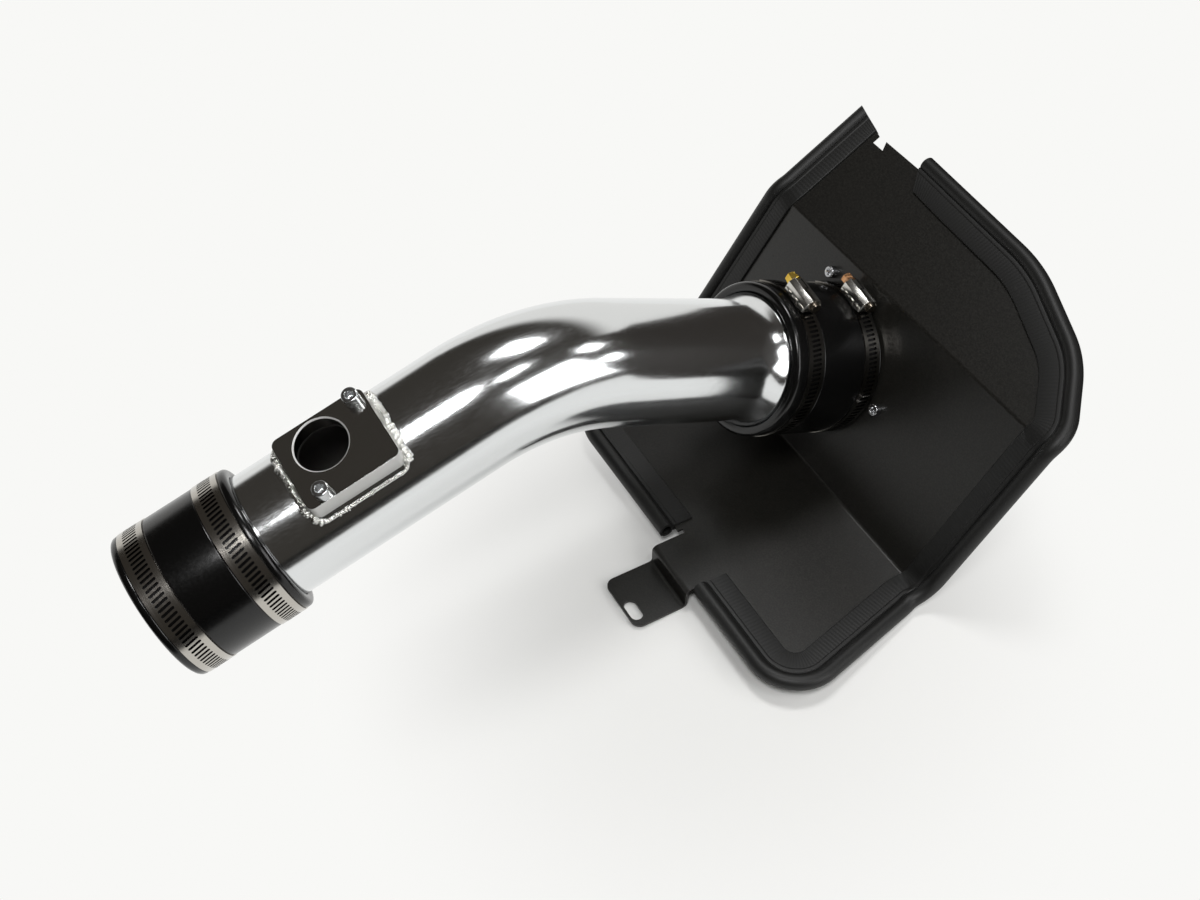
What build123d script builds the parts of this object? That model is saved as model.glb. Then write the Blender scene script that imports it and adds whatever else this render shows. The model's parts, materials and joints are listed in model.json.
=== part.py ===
from build123d import *
import os
from math import atan2, cos, degrees, radians, sin, tan

os.makedirs("parts", exist_ok=True)

# Cold air intake: a polished bent tube with a hose coupler at each end and a folded heat shield.
# All lengths are in millimetres and all angles in degrees.

# Building frame: the axes of the two straight runs cross at the origin.
# X runs along the folds of the shield, Y from the throttle end to the filter end, Z up.

# Tube
PIPE_OD = 70.0
PIPE_WALL = 1.65
THROTTLE_RISE = 17.4
FILTER_DROP = 23.7
BEND_RADIUS = 112.0
THROTTLE_MOUTH = 192.7
FLARE_OD = 78.0
FLARE_START = 127.6
FLARE_LENGTH = 19.0
FLARE_SOCKET = 33.0

# Hose couplers
COUPLER_WALL = 6.0
COUPLER_EDGE = 1.0
MOUTH_GROOVE_DEPTH = 0.8
MOUTH_GROOVE_WIDTH = 4.0
THROTTLE_COUPLER_LENGTH = 66.0
THROTTLE_GRIP = 33.0
FILTER_COUPLER_GAP = 0.8
FIT_GAP = 0.05

# Worm-drive clamps
THROTTLE_BAND_WIDTH = 14.2
FILTER_BAND_WIDTH = 12.0
BAND_THICKNESS = 0.8
THROTTLE_BAND_INSET = 4.6
FILTER_PIPE_BAND_INSET = 9.0
FILTER_SPIGOT_BAND_INSET = 1.2
THROTTLE_CLAMP_TURN = 150.0
FILTER_CLAMP_TURN = -83.0
HOUSING_LENGTH = 20.0
HOUSING_WIDTH = 11.4
HOUSING_HEIGHT = 9.4
HOUSING_BEVEL = 2.6
WORM_RADIUS = 3.0
WORM_LIFT = 4.9
HEX_ACROSS_FLATS = 8.0
HEX_LENGTH = 5.6
DRIVER_SLOT_WIDTH = 1.3
DRIVER_SLOT_DEPTH = 1.8
WORM_TAIL_LENGTH = 2.6
BAND_TAIL_ARC = 24.0

# Sensor flange on the throttle run
FLANGE_FROM_MOUTH = 86.2
FLANGE_LENGTH = 52.0
FLANGE_WIDTH = 44.2
FLANGE_HEIGHT = 38.8
FLANGE_TURN = 12.0
FLANGE_CORNER = 4.0
SENSOR_HOLE_R = 14.0
SENSOR_RIM = 0.7
SENSOR_SHIFT_ALONG = -4.6
SENSOR_SHIFT_ACROSS = -6.1
SENSOR_SCREW_FAR = (19.9, -17.2)
SENSOR_SCREW_NEAR = (-15.5, 17.8)
SENSOR_SCREW_R = 2.5
SENSOR_HEAD_R = 4.3
SENSOR_HEAD_HEIGHT = 6.8
SENSOR_SCREW_GRIP = 6.0
SENSOR_SOCKET_FLATS = 4.0
SENSOR_SOCKET_DEPTH = 3.2
WELD_WIDTH = 4.2
WELD_HEIGHT = 2.6

# Folded heat shield
SHEET = 1.5
BEND_INSIDE = 2.0
SHIELD_DISTANCE = 216.0
WALL_HEIGHT = 121.8
WALL_TOP_SHARE = 0.4762
TOP_FOLD_ANGLE = 35.0
SHIELD_WIDTH = 260.8
SHIELD_LEFT_SHARE = 0.4233
WALL_LEFT_TAPER = 18.5
WALL_RIGHT_TAPER = 12.8
FOLD_RUN_OUT = 8.0
FOLD_ROUND = 20.0
TOP_CORNER_RUN = 9.5
TOP_CORNER_ROUND = 18.0
TOP_LEFT_HEIGHT = 73.0
TOP_BARE_HEIGHT = 66.0
TOP_NOTCH_INSET = 23.6
TOP_NOTCH_WIDTH = 7.5
TOP_NOTCH_DEPTH = 5.5
TOP_NOTCH_HOOK = 3.0
TOP_CROWN_HEIGHT = 61.0
TOP_CROWN_INSET = 82.7
TOP_CROWN_ROUND = 100.0
TOP_SHOULDER_HEIGHT = 39.2
TOP_SHOULDER_INSET = 27.1
TOP_SHOULDER_ROUND = 60.0
TOP_BARE_END = -35.0
FOOT_WIDTH = 98.1
FOOT_RIGHT_STEP = 5.1
FOOT_RIGHT_FLARE = 21.5
FOOT_LEFT_TAPER = 36.4
FOOT_RIGHT_CORNER = 20.0
FOOT_LEFT_CORNER = 26.0

# Slotted mounting tab on the foot of the shield
TAB_LEFT = 36.5
TAB_RIGHT = 74.5
TAB_STEP_AT = 117.0
TAB_DROP = 13.2
TAB_REACH = 150.8
TAB_CORNER = 6.0
SLOT_X = 62.6
SLOT_FROM_EDGE = 5.2
SLOT_LENGTH = 14.6
SLOT_WIDTH = 7.5
TAB_RELIEF = 3.0
TAB_ROOT_LAP = 4.0

# Clip-on edge trim
TRIM_LEG = 12.5
TRIM_LEG_THICKNESS = 2.2
TRIM_BULB_R = 5.0
TRIM_BULB_WALL = 1.6
TRIM_BULB_SIDES = 10
TRIM_END_WALL = 2.1
TRIM_TAB_GAP_LEFT = 7.0
TRIM_TAB_GAP_RIGHT = 0.6

# Filter adapter through the shield
SPIGOT_WALL = 3.0
SPIGOT_CLEARANCE = 0.5
SPIGOT_REACH = 31.5
ADAPTER_FLANGE_R = 55.5
ADAPTER_FLANGE_THICKNESS = 6.0
FILTER_NECK_LENGTH = 36.0
ADAPTER_SCREW_CIRCLE = 103.0
ADAPTER_SCREW_COUNT = 3
ADAPTER_SCREW_R = 2.0
ADAPTER_HEAD_R = 3.6
ADAPTER_HEAD_HEIGHT = 4.2
ADAPTER_SOCKET_FLATS = 3.0
ADAPTER_SOCKET_DEPTH = 2.2
SCREW_CLEARANCE = 0.2

# Derived directions and frames
pipe_r = PIPE_OD / 2
flare_r = FLARE_OD / 2
fold_dir = Vector(1, 0, 0)
throttle_dir = Vector(0, cos(radians(THROTTLE_RISE)), sin(radians(THROTTLE_RISE)))
filter_dir = Vector(0, cos(radians(FILTER_DROP)), -sin(radians(FILTER_DROP)))
bend_angle = THROTTLE_RISE + FILTER_DROP
bend_tangent = BEND_RADIUS * tan(radians(bend_angle / 2))
throttle_axis = Plane(origin=throttle_dir * -THROTTLE_MOUTH, x_dir=fold_dir, z_dir=throttle_dir)
filter_axis = Plane(origin=(0, 0, 0), x_dir=fold_dir, z_dir=filter_dir)
parts = {}


def tube(outer_r, inner_r, start, end):
    """Plain tube along local Z."""
    ring = Circle(outer_r) - Circle(inner_r)
    return Pos(0, 0, start) * extrude(ring, end - start)


def cap_screw(head_r, head_height, shank_r, shank_length, socket_flats, socket_depth):
    """Socket head screw: the head stands up from local Z = 0 and the shank points down."""
    head = Pos(0, 0, head_height / 2) * Cylinder(head_r, head_height)
    socket = extrude(RegularPolygon(socket_flats / 2, 6, major_radius=False), socket_depth)
    shank = Pos(0, 0, -shank_length / 2) * Cylinder(shank_r, shank_length)
    return head + shank - Pos(0, 0, head_height - socket_depth) * socket


# Bent tube: two straight runs, one bend, and a mouth flared for the larger coupler
pipe_in = pipe_r - PIPE_WALL
throttle_up = Vector(0, -sin(radians(THROTTLE_RISE)), cos(radians(THROTTLE_RISE)))
bend_start = throttle_dir * -bend_tangent
bend_centre = bend_start - throttle_up * BEND_RADIUS
bend_plane = Plane(origin=bend_start, x_dir=fold_dir, z_dir=throttle_dir)
bend_ring = bend_plane * (Circle(pipe_r) - Circle(pipe_in))
pipe = throttle_axis * tube(pipe_r, pipe_in, 0, THROTTLE_MOUTH - bend_tangent)
pipe += revolve(bend_ring, Axis(bend_centre, fold_dir * -1), bend_angle)
pipe += filter_axis * tube(pipe_r, pipe_in, bend_tangent, FLARE_START)
flare_cone = FLARE_START + FLARE_LENGTH
flare_end = flare_cone + FLARE_SOCKET
flare_line = [(pipe_r, FLARE_START), (flare_r, flare_cone), (flare_r, flare_end)]
flare_inner = [(r - PIPE_WALL, z) for r, z in reversed(flare_line)]
flare_face = Plane.XZ * make_face(Polyline(*flare_line, *flare_inner, close=True))
pipe += filter_axis * revolve(flare_face, Axis.Z, 360)
flange_axis = throttle_axis * Pos(0, 0, FLANGE_FROM_MOUTH) * Rot(Z=-90 + FLANGE_TURN)
sensor_place = Pos(0, SENSOR_SHIFT_ACROSS, SENSOR_SHIFT_ALONG)
sensor_bore = flange_axis * sensor_place * Rot(Y=90) * Cylinder(
    SENSOR_HOLE_R, FLANGE_HEIGHT * 3, align=(Align.CENTER, Align.CENTER, Align.MIN)
)
parts["intake_pipe"] = pipe - sensor_bore

# Sensor flange: a block with a saddle under it, welded on, with a round port and two screw holes
saddle = Cylinder(pipe_r, FLANGE_LENGTH * 2)
block_low = pipe_r * cos(radians(45)) - WELD_WIDTH
block = Pos((block_low + FLANGE_HEIGHT) / 2, 0, 0) * Box(
    FLANGE_HEIGHT - block_low, FLANGE_WIDTH, FLANGE_LENGTH
)
block = fillet(block.edges().filter_by(Axis.X), FLANGE_CORNER)
port = sensor_place * Rot(Y=90) * Cylinder(SENSOR_HOLE_R, FLANGE_HEIGHT * 3)
rim = sensor_place * Pos(FLANGE_HEIGHT - SENSOR_RIM / 2, 0, 0) * Rot(Y=90) * Cone(
    SENSOR_HOLE_R, SENSOR_HOLE_R + SENSOR_RIM, SENSOR_RIM
)
sensor_screw_spots = [
    Pos(FLANGE_HEIGHT, across, along) * Rot(Y=90)
    for along, across in (SENSOR_SCREW_FAR, SENSOR_SCREW_NEAR)
]
flange = block - saddle - port - rim
for spot in sensor_screw_spots:
    flange -= spot * Cylinder(SENSOR_SCREW_R, SENSOR_SCREW_GRIP * 2)
parts["sensor_flange"] = flange_axis * flange

# Weld bead: a raised border that follows the tube round the foot of the flange
bead_area = Pos((block_low + FLANGE_HEIGHT) / 2, 0, 0) * Box(
    FLANGE_HEIGHT - block_low, FLANGE_WIDTH + 2 * WELD_WIDTH, FLANGE_LENGTH + 2 * WELD_WIDTH
)
bead_area = chamfer(bead_area.edges().filter_by(Axis.X), FLANGE_CORNER)
bead_core = Pos((block_low + FLANGE_HEIGHT) / 2, 0, 0) * Box(
    FLANGE_HEIGHT, FLANGE_WIDTH, FLANGE_LENGTH
)
bead_core = fillet(bead_core.edges().filter_by(Axis.X), FLANGE_CORNER)
bead_shell = tube(pipe_r + WELD_HEIGHT, pipe_r, -FLANGE_LENGTH, FLANGE_LENGTH)
parts["flange_weld"] = flange_axis * ((bead_shell & bead_area) - bead_core)

screw_shape = cap_screw(
    SENSOR_HEAD_R,
    SENSOR_HEAD_HEIGHT,
    SENSOR_SCREW_R - FIT_GAP,
    SENSOR_SCREW_GRIP,
    SENSOR_SOCKET_FLATS,
    SENSOR_SOCKET_DEPTH,
)
parts["sensor_screws"] = Compound(
    children=[flange_axis * spot * screw_shape for spot in sensor_screw_spots]
)

# Hose couplers: straight sleeves with bevelled lips
def coupler(inner_r, start, end):
    sleeve = tube(inner_r + COUPLER_WALL, inner_r, start, end)
    return chamfer(sleeve.edges().filter_by(GeomType.CIRCLE), COUPLER_EDGE)


throttle_bore = pipe_r + FIT_GAP
throttle_coupler_start = THROTTLE_GRIP - THROTTLE_COUPLER_LENGTH
mouth_groove = Cylinder(throttle_bore + MOUTH_GROOVE_DEPTH, MOUTH_GROOVE_WIDTH)
throttle_sleeve = coupler(throttle_bore, throttle_coupler_start, THROTTLE_GRIP) - mouth_groove
parts["throttle_coupler"] = throttle_axis * throttle_sleeve
shield_front = SHIELD_DISTANCE - SHEET / 2
filter_coupler_start = flare_cone
filter_coupler_end = shield_front - FILTER_COUPLER_GAP
parts["filter_coupler"] = filter_axis * coupler(
    flare_r + FIT_GAP, filter_coupler_start, filter_coupler_end
)


# Worm-drive clamps: a band with a loose tail, a pressed housing and a hex-headed worm
def clamp(inner_r, width, head_side):
    """Clamp centred on local Z = 0 with its housing on local X, as band, housing and screw."""
    band_in = inner_r + FIT_GAP
    band_out = band_in + BAND_THICKNESS
    band = tube(band_out, band_in, -width / 2, width / 2)
    tail_in = band_out
    tail_out = band_out + BAND_THICKNESS
    tail_from = degrees(HOUSING_LENGTH / 2 / band_out)
    tail_profile = Pos((tail_in + tail_out) / 2, 0) * Rectangle(BAND_THICKNESS, width)
    tail = revolve(Plane.XZ * tail_profile, Axis.Z, BAND_TAIL_ARC)
    turn = tail_from if head_side > 0 else -tail_from - BAND_TAIL_ARC
    band = band + Rot(Z=turn) * tail
    side_view = Plane(origin=(0, 0, 0), x_dir=(1, 0, 0), z_dir=(0, 1, 0))
    middle = band_in + HOUSING_HEIGHT / 2
    outline = Pos(middle, 0) * Rectangle(HOUSING_HEIGHT, HOUSING_WIDTH)
    outline = chamfer(outline.vertices().group_by(Axis.X)[-1], HOUSING_BEVEL)
    housing = extrude(side_view * outline, HOUSING_LENGTH / 2, both=True)
    worm_at = band_out + WORM_LIFT
    bore = Pos(worm_at, 0, 0) * Rot(X=90) * Cylinder(WORM_RADIUS + FIT_GAP, HOUSING_LENGTH * 2)
    housing = housing - Cylinder(band_out + FIT_GAP, width * 2) - bore
    hex_at = HOUSING_LENGTH / 2
    worm_length = HOUSING_LENGTH + WORM_TAIL_LENGTH
    worm = Pos(0, 0, hex_at) * extrude(Circle(WORM_RADIUS), -worm_length)
    hexagon = RegularPolygon(HEX_ACROSS_FLATS / 2, 6, major_radius=False)
    worm += Pos(0, 0, hex_at) * extrude(hexagon, HEX_LENGTH)
    slot_at = hex_at + HEX_LENGTH - DRIVER_SLOT_DEPTH / 2
    worm -= Pos(0, 0, slot_at) * Box(HEX_ACROSS_FLATS * 2, DRIVER_SLOT_WIDTH, DRIVER_SLOT_DEPTH)
    screw = Pos(worm_at, 0, 0) * Rot(X=-90 * head_side) * worm
    return band, housing, screw


throttle_hose_r = throttle_bore + COUPLER_WALL
filter_hose_r = flare_r + FIT_GAP + COUPLER_WALL
throttle_inset = THROTTLE_BAND_INSET + THROTTLE_BAND_WIDTH / 2
pipe_inset = FILTER_PIPE_BAND_INSET + FILTER_BAND_WIDTH / 2
spigot_inset = FILTER_SPIGOT_BAND_INSET + FILTER_BAND_WIDTH / 2
clamp_places = {
    "throttle_end_clamp": (throttle_axis, throttle_coupler_start + throttle_inset, False),
    "throttle_pipe_clamp": (throttle_axis, THROTTLE_GRIP - throttle_inset, False),
    "filter_pipe_clamp": (filter_axis, filter_coupler_start + pipe_inset, True),
    "filter_spigot_clamp": (filter_axis, filter_coupler_end - spigot_inset, True),
}
for name, (axis, along, at_filter) in clamp_places.items():
    if at_filter:
        band, housing, screw = clamp(filter_hose_r, FILTER_BAND_WIDTH, -1)
        turn = FILTER_CLAMP_TURN
    else:
        band, housing, screw = clamp(throttle_hose_r, THROTTLE_BAND_WIDTH, 1)
        turn = THROTTLE_CLAMP_TURN
    place = axis * Pos(0, 0, along) * Rot(Z=turn)
    parts[f"{name}_band"] = place * band
    parts[f"{name}_housing"] = place * housing
    parts[f"{name}_screw"] = place * screw

# Heat shield: three flat panels joined by two folds
# On every panel local X runs along the folds and local Y across them, away from the fold.
wall_up = Vector(0, sin(radians(FILTER_DROP)), cos(radians(FILTER_DROP)))
top_lean = radians(FILTER_DROP + TOP_FOLD_ANGLE)
top_away = Vector(0, sin(top_lean), cos(top_lean))
foot_away = Vector(0, -1, 0)
wall_centre = filter_dir * SHIELD_DISTANCE
wall_top = WALL_HEIGHT * WALL_TOP_SHARE
wall_low = WALL_HEIGHT - wall_top
wall_low_left = -SHIELD_WIDTH * SHIELD_LEFT_SHARE
wall_top_right = SHIELD_WIDTH + wall_low_left
wall_top_left = wall_low_left + WALL_LEFT_TAPER
wall_low_right = wall_top_right - WALL_RIGHT_TAPER
upper_fold = wall_centre + wall_up * wall_top
lower_fold = wall_centre - wall_up * wall_low
wall = Plane(origin=wall_centre, x_dir=fold_dir, z_dir=fold_dir.cross(wall_up))
top = Plane(origin=upper_fold, x_dir=fold_dir, z_dir=fold_dir.cross(top_away))
foot = Plane(origin=lower_fold, x_dir=fold_dir, z_dir=fold_dir.cross(foot_away))
shield_span = SHIELD_WIDTH * 2
fold_radius = BEND_INSIDE + SHEET / 2


def folded_strip(points, left, right):
    """Sheet folded through the given side-view points, between two places along the folds."""
    line = FilletPolyline(*points, radius=fold_radius)
    side_view = trace(Plane.YZ.to_local_coords(line), SHEET)
    return Pos(left, 0, 0) * extrude(Plane.YZ * side_view, right - left)


def past(inner, tip):
    """Point beyond tip on the way from inner."""
    step = Vector(*tip) - Vector(*inner)
    reached = Vector(*tip) + step.normalized() * TRIM_LEG * 2
    return (reached.X, reached.Y)


def beyond(fold_point, direction):
    """Everything on one side of the mitre plane through a fold."""
    block_size = shield_span * 2
    return Plane(origin=fold_point, x_dir=fold_dir, z_dir=direction) * Box(
        block_size, block_size, block_size, align=(Align.CENTER, Align.CENTER, Align.MIN)
    )


above_upper_fold = beyond(upper_fold, wall_up + top_away)
below_upper_fold = beyond(upper_fold, (wall_up + top_away) * -1)
above_lower_fold = beyond(lower_fold, wall_up - foot_away)
below_lower_fold = beyond(lower_fold, (wall_up - foot_away) * -1)

# Panel edges: each one crosses a fold in a straight line and turns a little way past it
right_slope = (wall_top_right - wall_low_right) / WALL_HEIGHT
left_slope = (wall_top_left - wall_low_left) / WALL_HEIGHT
upper_right = (wall_top_right, 0)
upper_left = (wall_top_left, 0)
lower_right = (wall_low_right, 0)
lower_left = (wall_low_left, 0)
top_right_turn = (wall_top_right + right_slope * TOP_CORNER_RUN, TOP_CORNER_RUN)
top_left_turn = (wall_top_left + left_slope * FOLD_RUN_OUT, FOLD_RUN_OUT)
foot_right_turn = (wall_low_right - right_slope * FOLD_RUN_OUT, FOLD_RUN_OUT)
foot_left_turn = (wall_low_left - left_slope * FOLD_RUN_OUT, FOLD_RUN_OUT)
top_left_tip = (top_left_turn[0], TOP_LEFT_HEIGHT)
bare_end = (TOP_BARE_END, TOP_BARE_HEIGHT)
notch_x = top_left_turn[0] + TOP_NOTCH_INSET
notch_floor = TOP_BARE_HEIGHT - TOP_NOTCH_DEPTH
front_right_y = FOOT_WIDTH + FOOT_RIGHT_STEP
foot_right = (wall_low_right + FOOT_RIGHT_FLARE, front_right_y)
front_right = (TAB_RIGHT - TAB_RELIEF, front_right_y)
front_left = (TAB_LEFT + TAB_RELIEF, FOOT_WIDTH)
foot_left = (wall_low_left + FOOT_LEFT_TAPER, FOOT_WIDTH)
wall_right = [(wall_low_right, -wall_low), (wall_top_right, wall_top)]
wall_left = [(wall_top_left, wall_top), (wall_low_left, -wall_low)]
top_shoulder = (wall_top_right - TOP_SHOULDER_INSET, TOP_SHOULDER_HEIGHT)
top_crown = (wall_top_right - TOP_CROWN_INSET, TOP_CROWN_HEIGHT)
top_right_run = [past(top_right_turn, upper_right), top_right_turn, top_shoulder, top_crown, bare_end]
top_right_rounds = [TOP_CORNER_ROUND, TOP_SHOULDER_ROUND, TOP_CROWN_ROUND]
top_left_run = [top_left_tip, top_left_turn, past(top_left_turn, upper_left)]
wall_right_run = [past(wall_right[1], wall_right[0]), past(wall_right[0], wall_right[1])]
wall_left_run = [past(wall_left[1], wall_left[0]), past(wall_left[0], wall_left[1])]
foot_run = [
    past(foot_right_turn, lower_right),
    foot_right_turn,
    foot_right,
    front_right,
    front_left,
    foot_left,
    foot_left_turn,
    past(foot_left_turn, lower_left),
]
step_rounds = [FOLD_ROUND, FOLD_ROUND]
foot_rounds = [FOLD_ROUND, FOOT_RIGHT_CORNER, *step_rounds, FOOT_LEFT_CORNER, FOLD_ROUND]
top_edges = FilletPolyline(*top_right_run, radius=top_right_rounds)
top_edges += Polyline(
    bare_end,
    (notch_x, TOP_BARE_HEIGHT),
    (notch_x + TOP_NOTCH_HOOK, notch_floor),
    (notch_x - TOP_NOTCH_WIDTH, notch_floor),
    (notch_x - TOP_NOTCH_WIDTH, TOP_LEFT_HEIGHT),
    top_left_tip,
)
top_edges += FilletPolyline(*top_left_run, radius=FOLD_ROUND)
top_edges += Line(top_left_run[-1], top_right_run[0])
foot_edges = FilletPolyline(*foot_run, radius=foot_rounds)
foot_edges += Line(foot_run[-1], foot_run[0])
wall_edges = Polyline(*wall_right_run, *wall_left_run, close=True)


def cutter(plane, edges):
    return extrude(plane * make_face(edges), TAB_DROP / 2, both=True)


top_area = cutter(top, top_edges) - below_upper_fold
wall_area = cutter(wall, wall_edges) - above_upper_fold - below_lower_fold
foot_area = cutter(foot, foot_edges) - above_lower_fold
far_top = upper_fold + top_away * TOP_CROWN_HEIGHT * 2
far_foot = lower_fold + foot_away * FOOT_WIDTH * 2
sheet = folded_strip(
    [far_top, upper_fold, lower_fold, far_foot], -shield_span / 2, shield_span / 2
)
shield = sheet & (top_area + wall_area + foot_area)

# Stepped tab: leaves the front edge of the foot level, steps down and runs on to a slotted plate
tab_root = lower_fold + foot_away * (FOOT_WIDTH - TAB_ROOT_LAP)
step_top = lower_fold + foot_away * TAB_STEP_AT
step_low = step_top - Vector(0, 0, TAB_DROP)
tab_end = lower_fold + foot_away * TAB_REACH - Vector(0, 0, TAB_DROP)
tab = folded_strip([tab_root, step_top, step_low, tab_end], TAB_LEFT, TAB_RIGHT)
tab = fillet(tab.edges().filter_by(Axis.Z).group_by(Axis.Y)[0], TAB_CORNER)
slot_place = Pos(SLOT_X, TAB_REACH - SLOT_FROM_EDGE)
slot_shape = foot * slot_place * SlotOverall(SLOT_LENGTH, SLOT_WIDTH)
shield = shield + tab - extrude(slot_shape, TAB_DROP * 2, both=True)
for side, edge in ((TAB_LEFT - TAB_RELIEF, FOOT_WIDTH), (TAB_RIGHT, front_right_y)):
    relief = Pos(side + TAB_RELIEF / 2, edge) * Rectangle(TAB_RELIEF, TAB_RELIEF * 2)
    shield -= extrude(foot * relief, SHEET, both=True)
screw_r = ADAPTER_SCREW_CIRCLE / 2
screw_spots = PolarLocations(screw_r, ADAPTER_SCREW_COUNT)
holes = Sketch() + Circle(flare_r + SPIGOT_CLEARANCE)
holes += screw_spots * Circle(ADAPTER_SCREW_R + SCREW_CLEARANCE)
shield -= extrude(wall * holes, SHEET * 2, both=True)
parts["heat_shield"] = shield


# Edge trim: a channel over the sheet edge with a hollow bulb outside it
def trim_run(plane, points, rounds):
    """Trim along one panel; the points run round the panel with the outside on the right."""
    line = plane * (FilletPolyline(*points, radius=rounds) if rounds else Polyline(*points))
    outward = (line % 0).cross(plane.z_dir)
    end_view = Plane(origin=line @ 0, x_dir=outward, z_dir=line % 0)
    channel = Pos(TRIM_END_WALL, 0) * Rectangle(
        TRIM_LEG + TRIM_END_WALL,
        SHEET + 2 * TRIM_LEG_THICKNESS,
        align=(Align.MAX, Align.CENTER),
    )
    bulb_at = TRIM_END_WALL + TRIM_BULB_R - TRIM_BULB_WALL
    bulb = RegularPolygon(TRIM_BULB_R, TRIM_BULB_SIDES)
    return sweep(end_view * (channel + Pos(bulb_at, 0) * bulb), line)


def trim(foot_piece, wall_piece, top_piece):
    """Three runs cut to meet at the folds, opened by the sheet that they grip."""
    joined = foot_piece - above_lower_fold
    joined += wall_piece - above_upper_fold - below_lower_fold
    joined += top_piece - below_upper_fold
    return joined - parts["heat_shield"]


right_start = (TAB_RIGHT + TRIM_TAB_GAP_RIGHT, front_right_y)
left_start = (TAB_LEFT - TRIM_TAB_GAP_LEFT, FOOT_WIDTH)
parts["right_edge_trim"] = trim(
    trim_run(foot, [*foot_run[:3], right_start], foot_rounds[:2]),
    trim_run(wall, wall_right_run, None),
    trim_run(top, top_right_run, top_right_rounds),
)
parts["left_edge_trim"] = trim(
    trim_run(foot, [left_start, *foot_run[5:]], foot_rounds[4:]),
    trim_run(wall, wall_left_run, None),
    trim_run(top, top_left_run, FOLD_ROUND),
)

# Filter adapter: a spigot for the coupler, a flange behind the shield and a neck for the filter
shield_back = SHIELD_DISTANCE + SHEET / 2
flange_back = shield_back + ADAPTER_FLANGE_THICKNESS
neck_end = flange_back + FILTER_NECK_LENGTH
spigot_in = flare_r - SPIGOT_WALL
adapter = tube(flare_r, spigot_in, shield_front - SPIGOT_REACH, neck_end)
adapter += tube(ADAPTER_FLANGE_R, spigot_in, shield_back, flange_back)
screw_holes = Sketch() + screw_spots * Circle(ADAPTER_SCREW_R)
adapter -= Pos(0, 0, shield_back) * extrude(screw_holes, ADAPTER_FLANGE_THICKNESS)
parts["filter_adapter"] = filter_axis * adapter
adapter_screw = cap_screw(
    ADAPTER_HEAD_R,
    ADAPTER_HEAD_HEIGHT,
    ADAPTER_SCREW_R - FIT_GAP,
    SHEET + ADAPTER_FLANGE_THICKNESS,
    ADAPTER_SOCKET_FLATS,
    ADAPTER_SOCKET_DEPTH,
)
screw_face = Plane(origin=filter_dir * shield_front, x_dir=fold_dir, z_dir=wall.z_dir)
parts["adapter_screws"] = Compound(
    children=[screw_face * spot * adapter_screw for spot in screw_spots]
)

# Rest: the tab and the bulbs at the back of the foot stand on the floor, so the part leans a little
rest_tilt = degrees(
    atan2(TAB_DROP + SHEET / 2 - TRIM_BULB_R, TAB_STEP_AT + SHEET + BEND_INSIDE)
)
leaned = {name: Rot(X=-rest_tilt) * solid for name, solid in parts.items()}
extent = leaned["heat_shield"].bounding_box()
for solid in leaned.values():
    extent = extent.add(solid.bounding_box())
middle = extent.center()
to_floor = Pos(-middle.X, -middle.Y, -extent.min.Z)
for name, solid in leaned.items():
    export_step(to_floor * solid, f"parts/{name}.step")
print("lean", round(rest_tilt, 3), "shift", to_floor.position)
print("size", extent.size)
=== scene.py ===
# %% [markdown]
# # A cold air intake pipe
#
# This lesson dresses a car's cold air intake: a bent, mirror-polished aluminium tube with a silicone
# hose at each end, worm-drive clamps on the hoses, a welded sensor flange, and a folded black heat
# shield with a rubber trim pushed over its edges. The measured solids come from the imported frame.
# Everything below is made in the same place as its solid, so only the surface and the light are new.

# %% Load the frame
import json
from contextlib import contextmanager
from math import asin, atan2, ceil, copysign, cos, hypot, pi, radians, sin, sqrt, tan

import bmesh
import bpy
from mathutils import Matrix, Vector
from mathutils.geometry import tessellate_polygon

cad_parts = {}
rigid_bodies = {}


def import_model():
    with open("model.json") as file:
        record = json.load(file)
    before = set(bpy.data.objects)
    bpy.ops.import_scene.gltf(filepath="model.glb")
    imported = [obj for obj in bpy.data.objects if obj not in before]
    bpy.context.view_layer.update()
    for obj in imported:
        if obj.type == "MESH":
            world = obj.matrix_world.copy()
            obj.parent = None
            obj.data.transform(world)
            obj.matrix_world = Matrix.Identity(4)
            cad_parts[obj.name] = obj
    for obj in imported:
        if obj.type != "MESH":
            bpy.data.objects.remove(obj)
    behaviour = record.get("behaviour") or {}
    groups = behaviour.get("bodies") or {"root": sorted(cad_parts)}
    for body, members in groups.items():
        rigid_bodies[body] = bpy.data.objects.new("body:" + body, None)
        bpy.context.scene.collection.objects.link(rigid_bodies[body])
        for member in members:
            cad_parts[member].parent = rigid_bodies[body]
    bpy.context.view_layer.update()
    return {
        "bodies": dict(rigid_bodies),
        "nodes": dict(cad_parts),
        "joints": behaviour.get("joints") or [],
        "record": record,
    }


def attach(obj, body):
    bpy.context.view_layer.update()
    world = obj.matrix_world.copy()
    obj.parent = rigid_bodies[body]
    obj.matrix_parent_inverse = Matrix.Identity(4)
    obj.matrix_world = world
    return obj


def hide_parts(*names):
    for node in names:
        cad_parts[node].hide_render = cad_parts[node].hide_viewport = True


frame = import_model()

# %% [markdown]
# ## Where things sit
#
# The tube has two straight runs whose axes cross at one point, and that point is the origin of the
# building frame: X along the folds of the shield, Y from the throttle end to the filter end. The part
# stands on its tab and on the rubber at the back of its foot, so it leans a few degrees. One matrix
# takes a building point in millimetres to its place in the scene in metres. Each run of the tube then
# gets a frame of its own, with Z along the axis, which makes every lathe and clamp simple to place.

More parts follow.
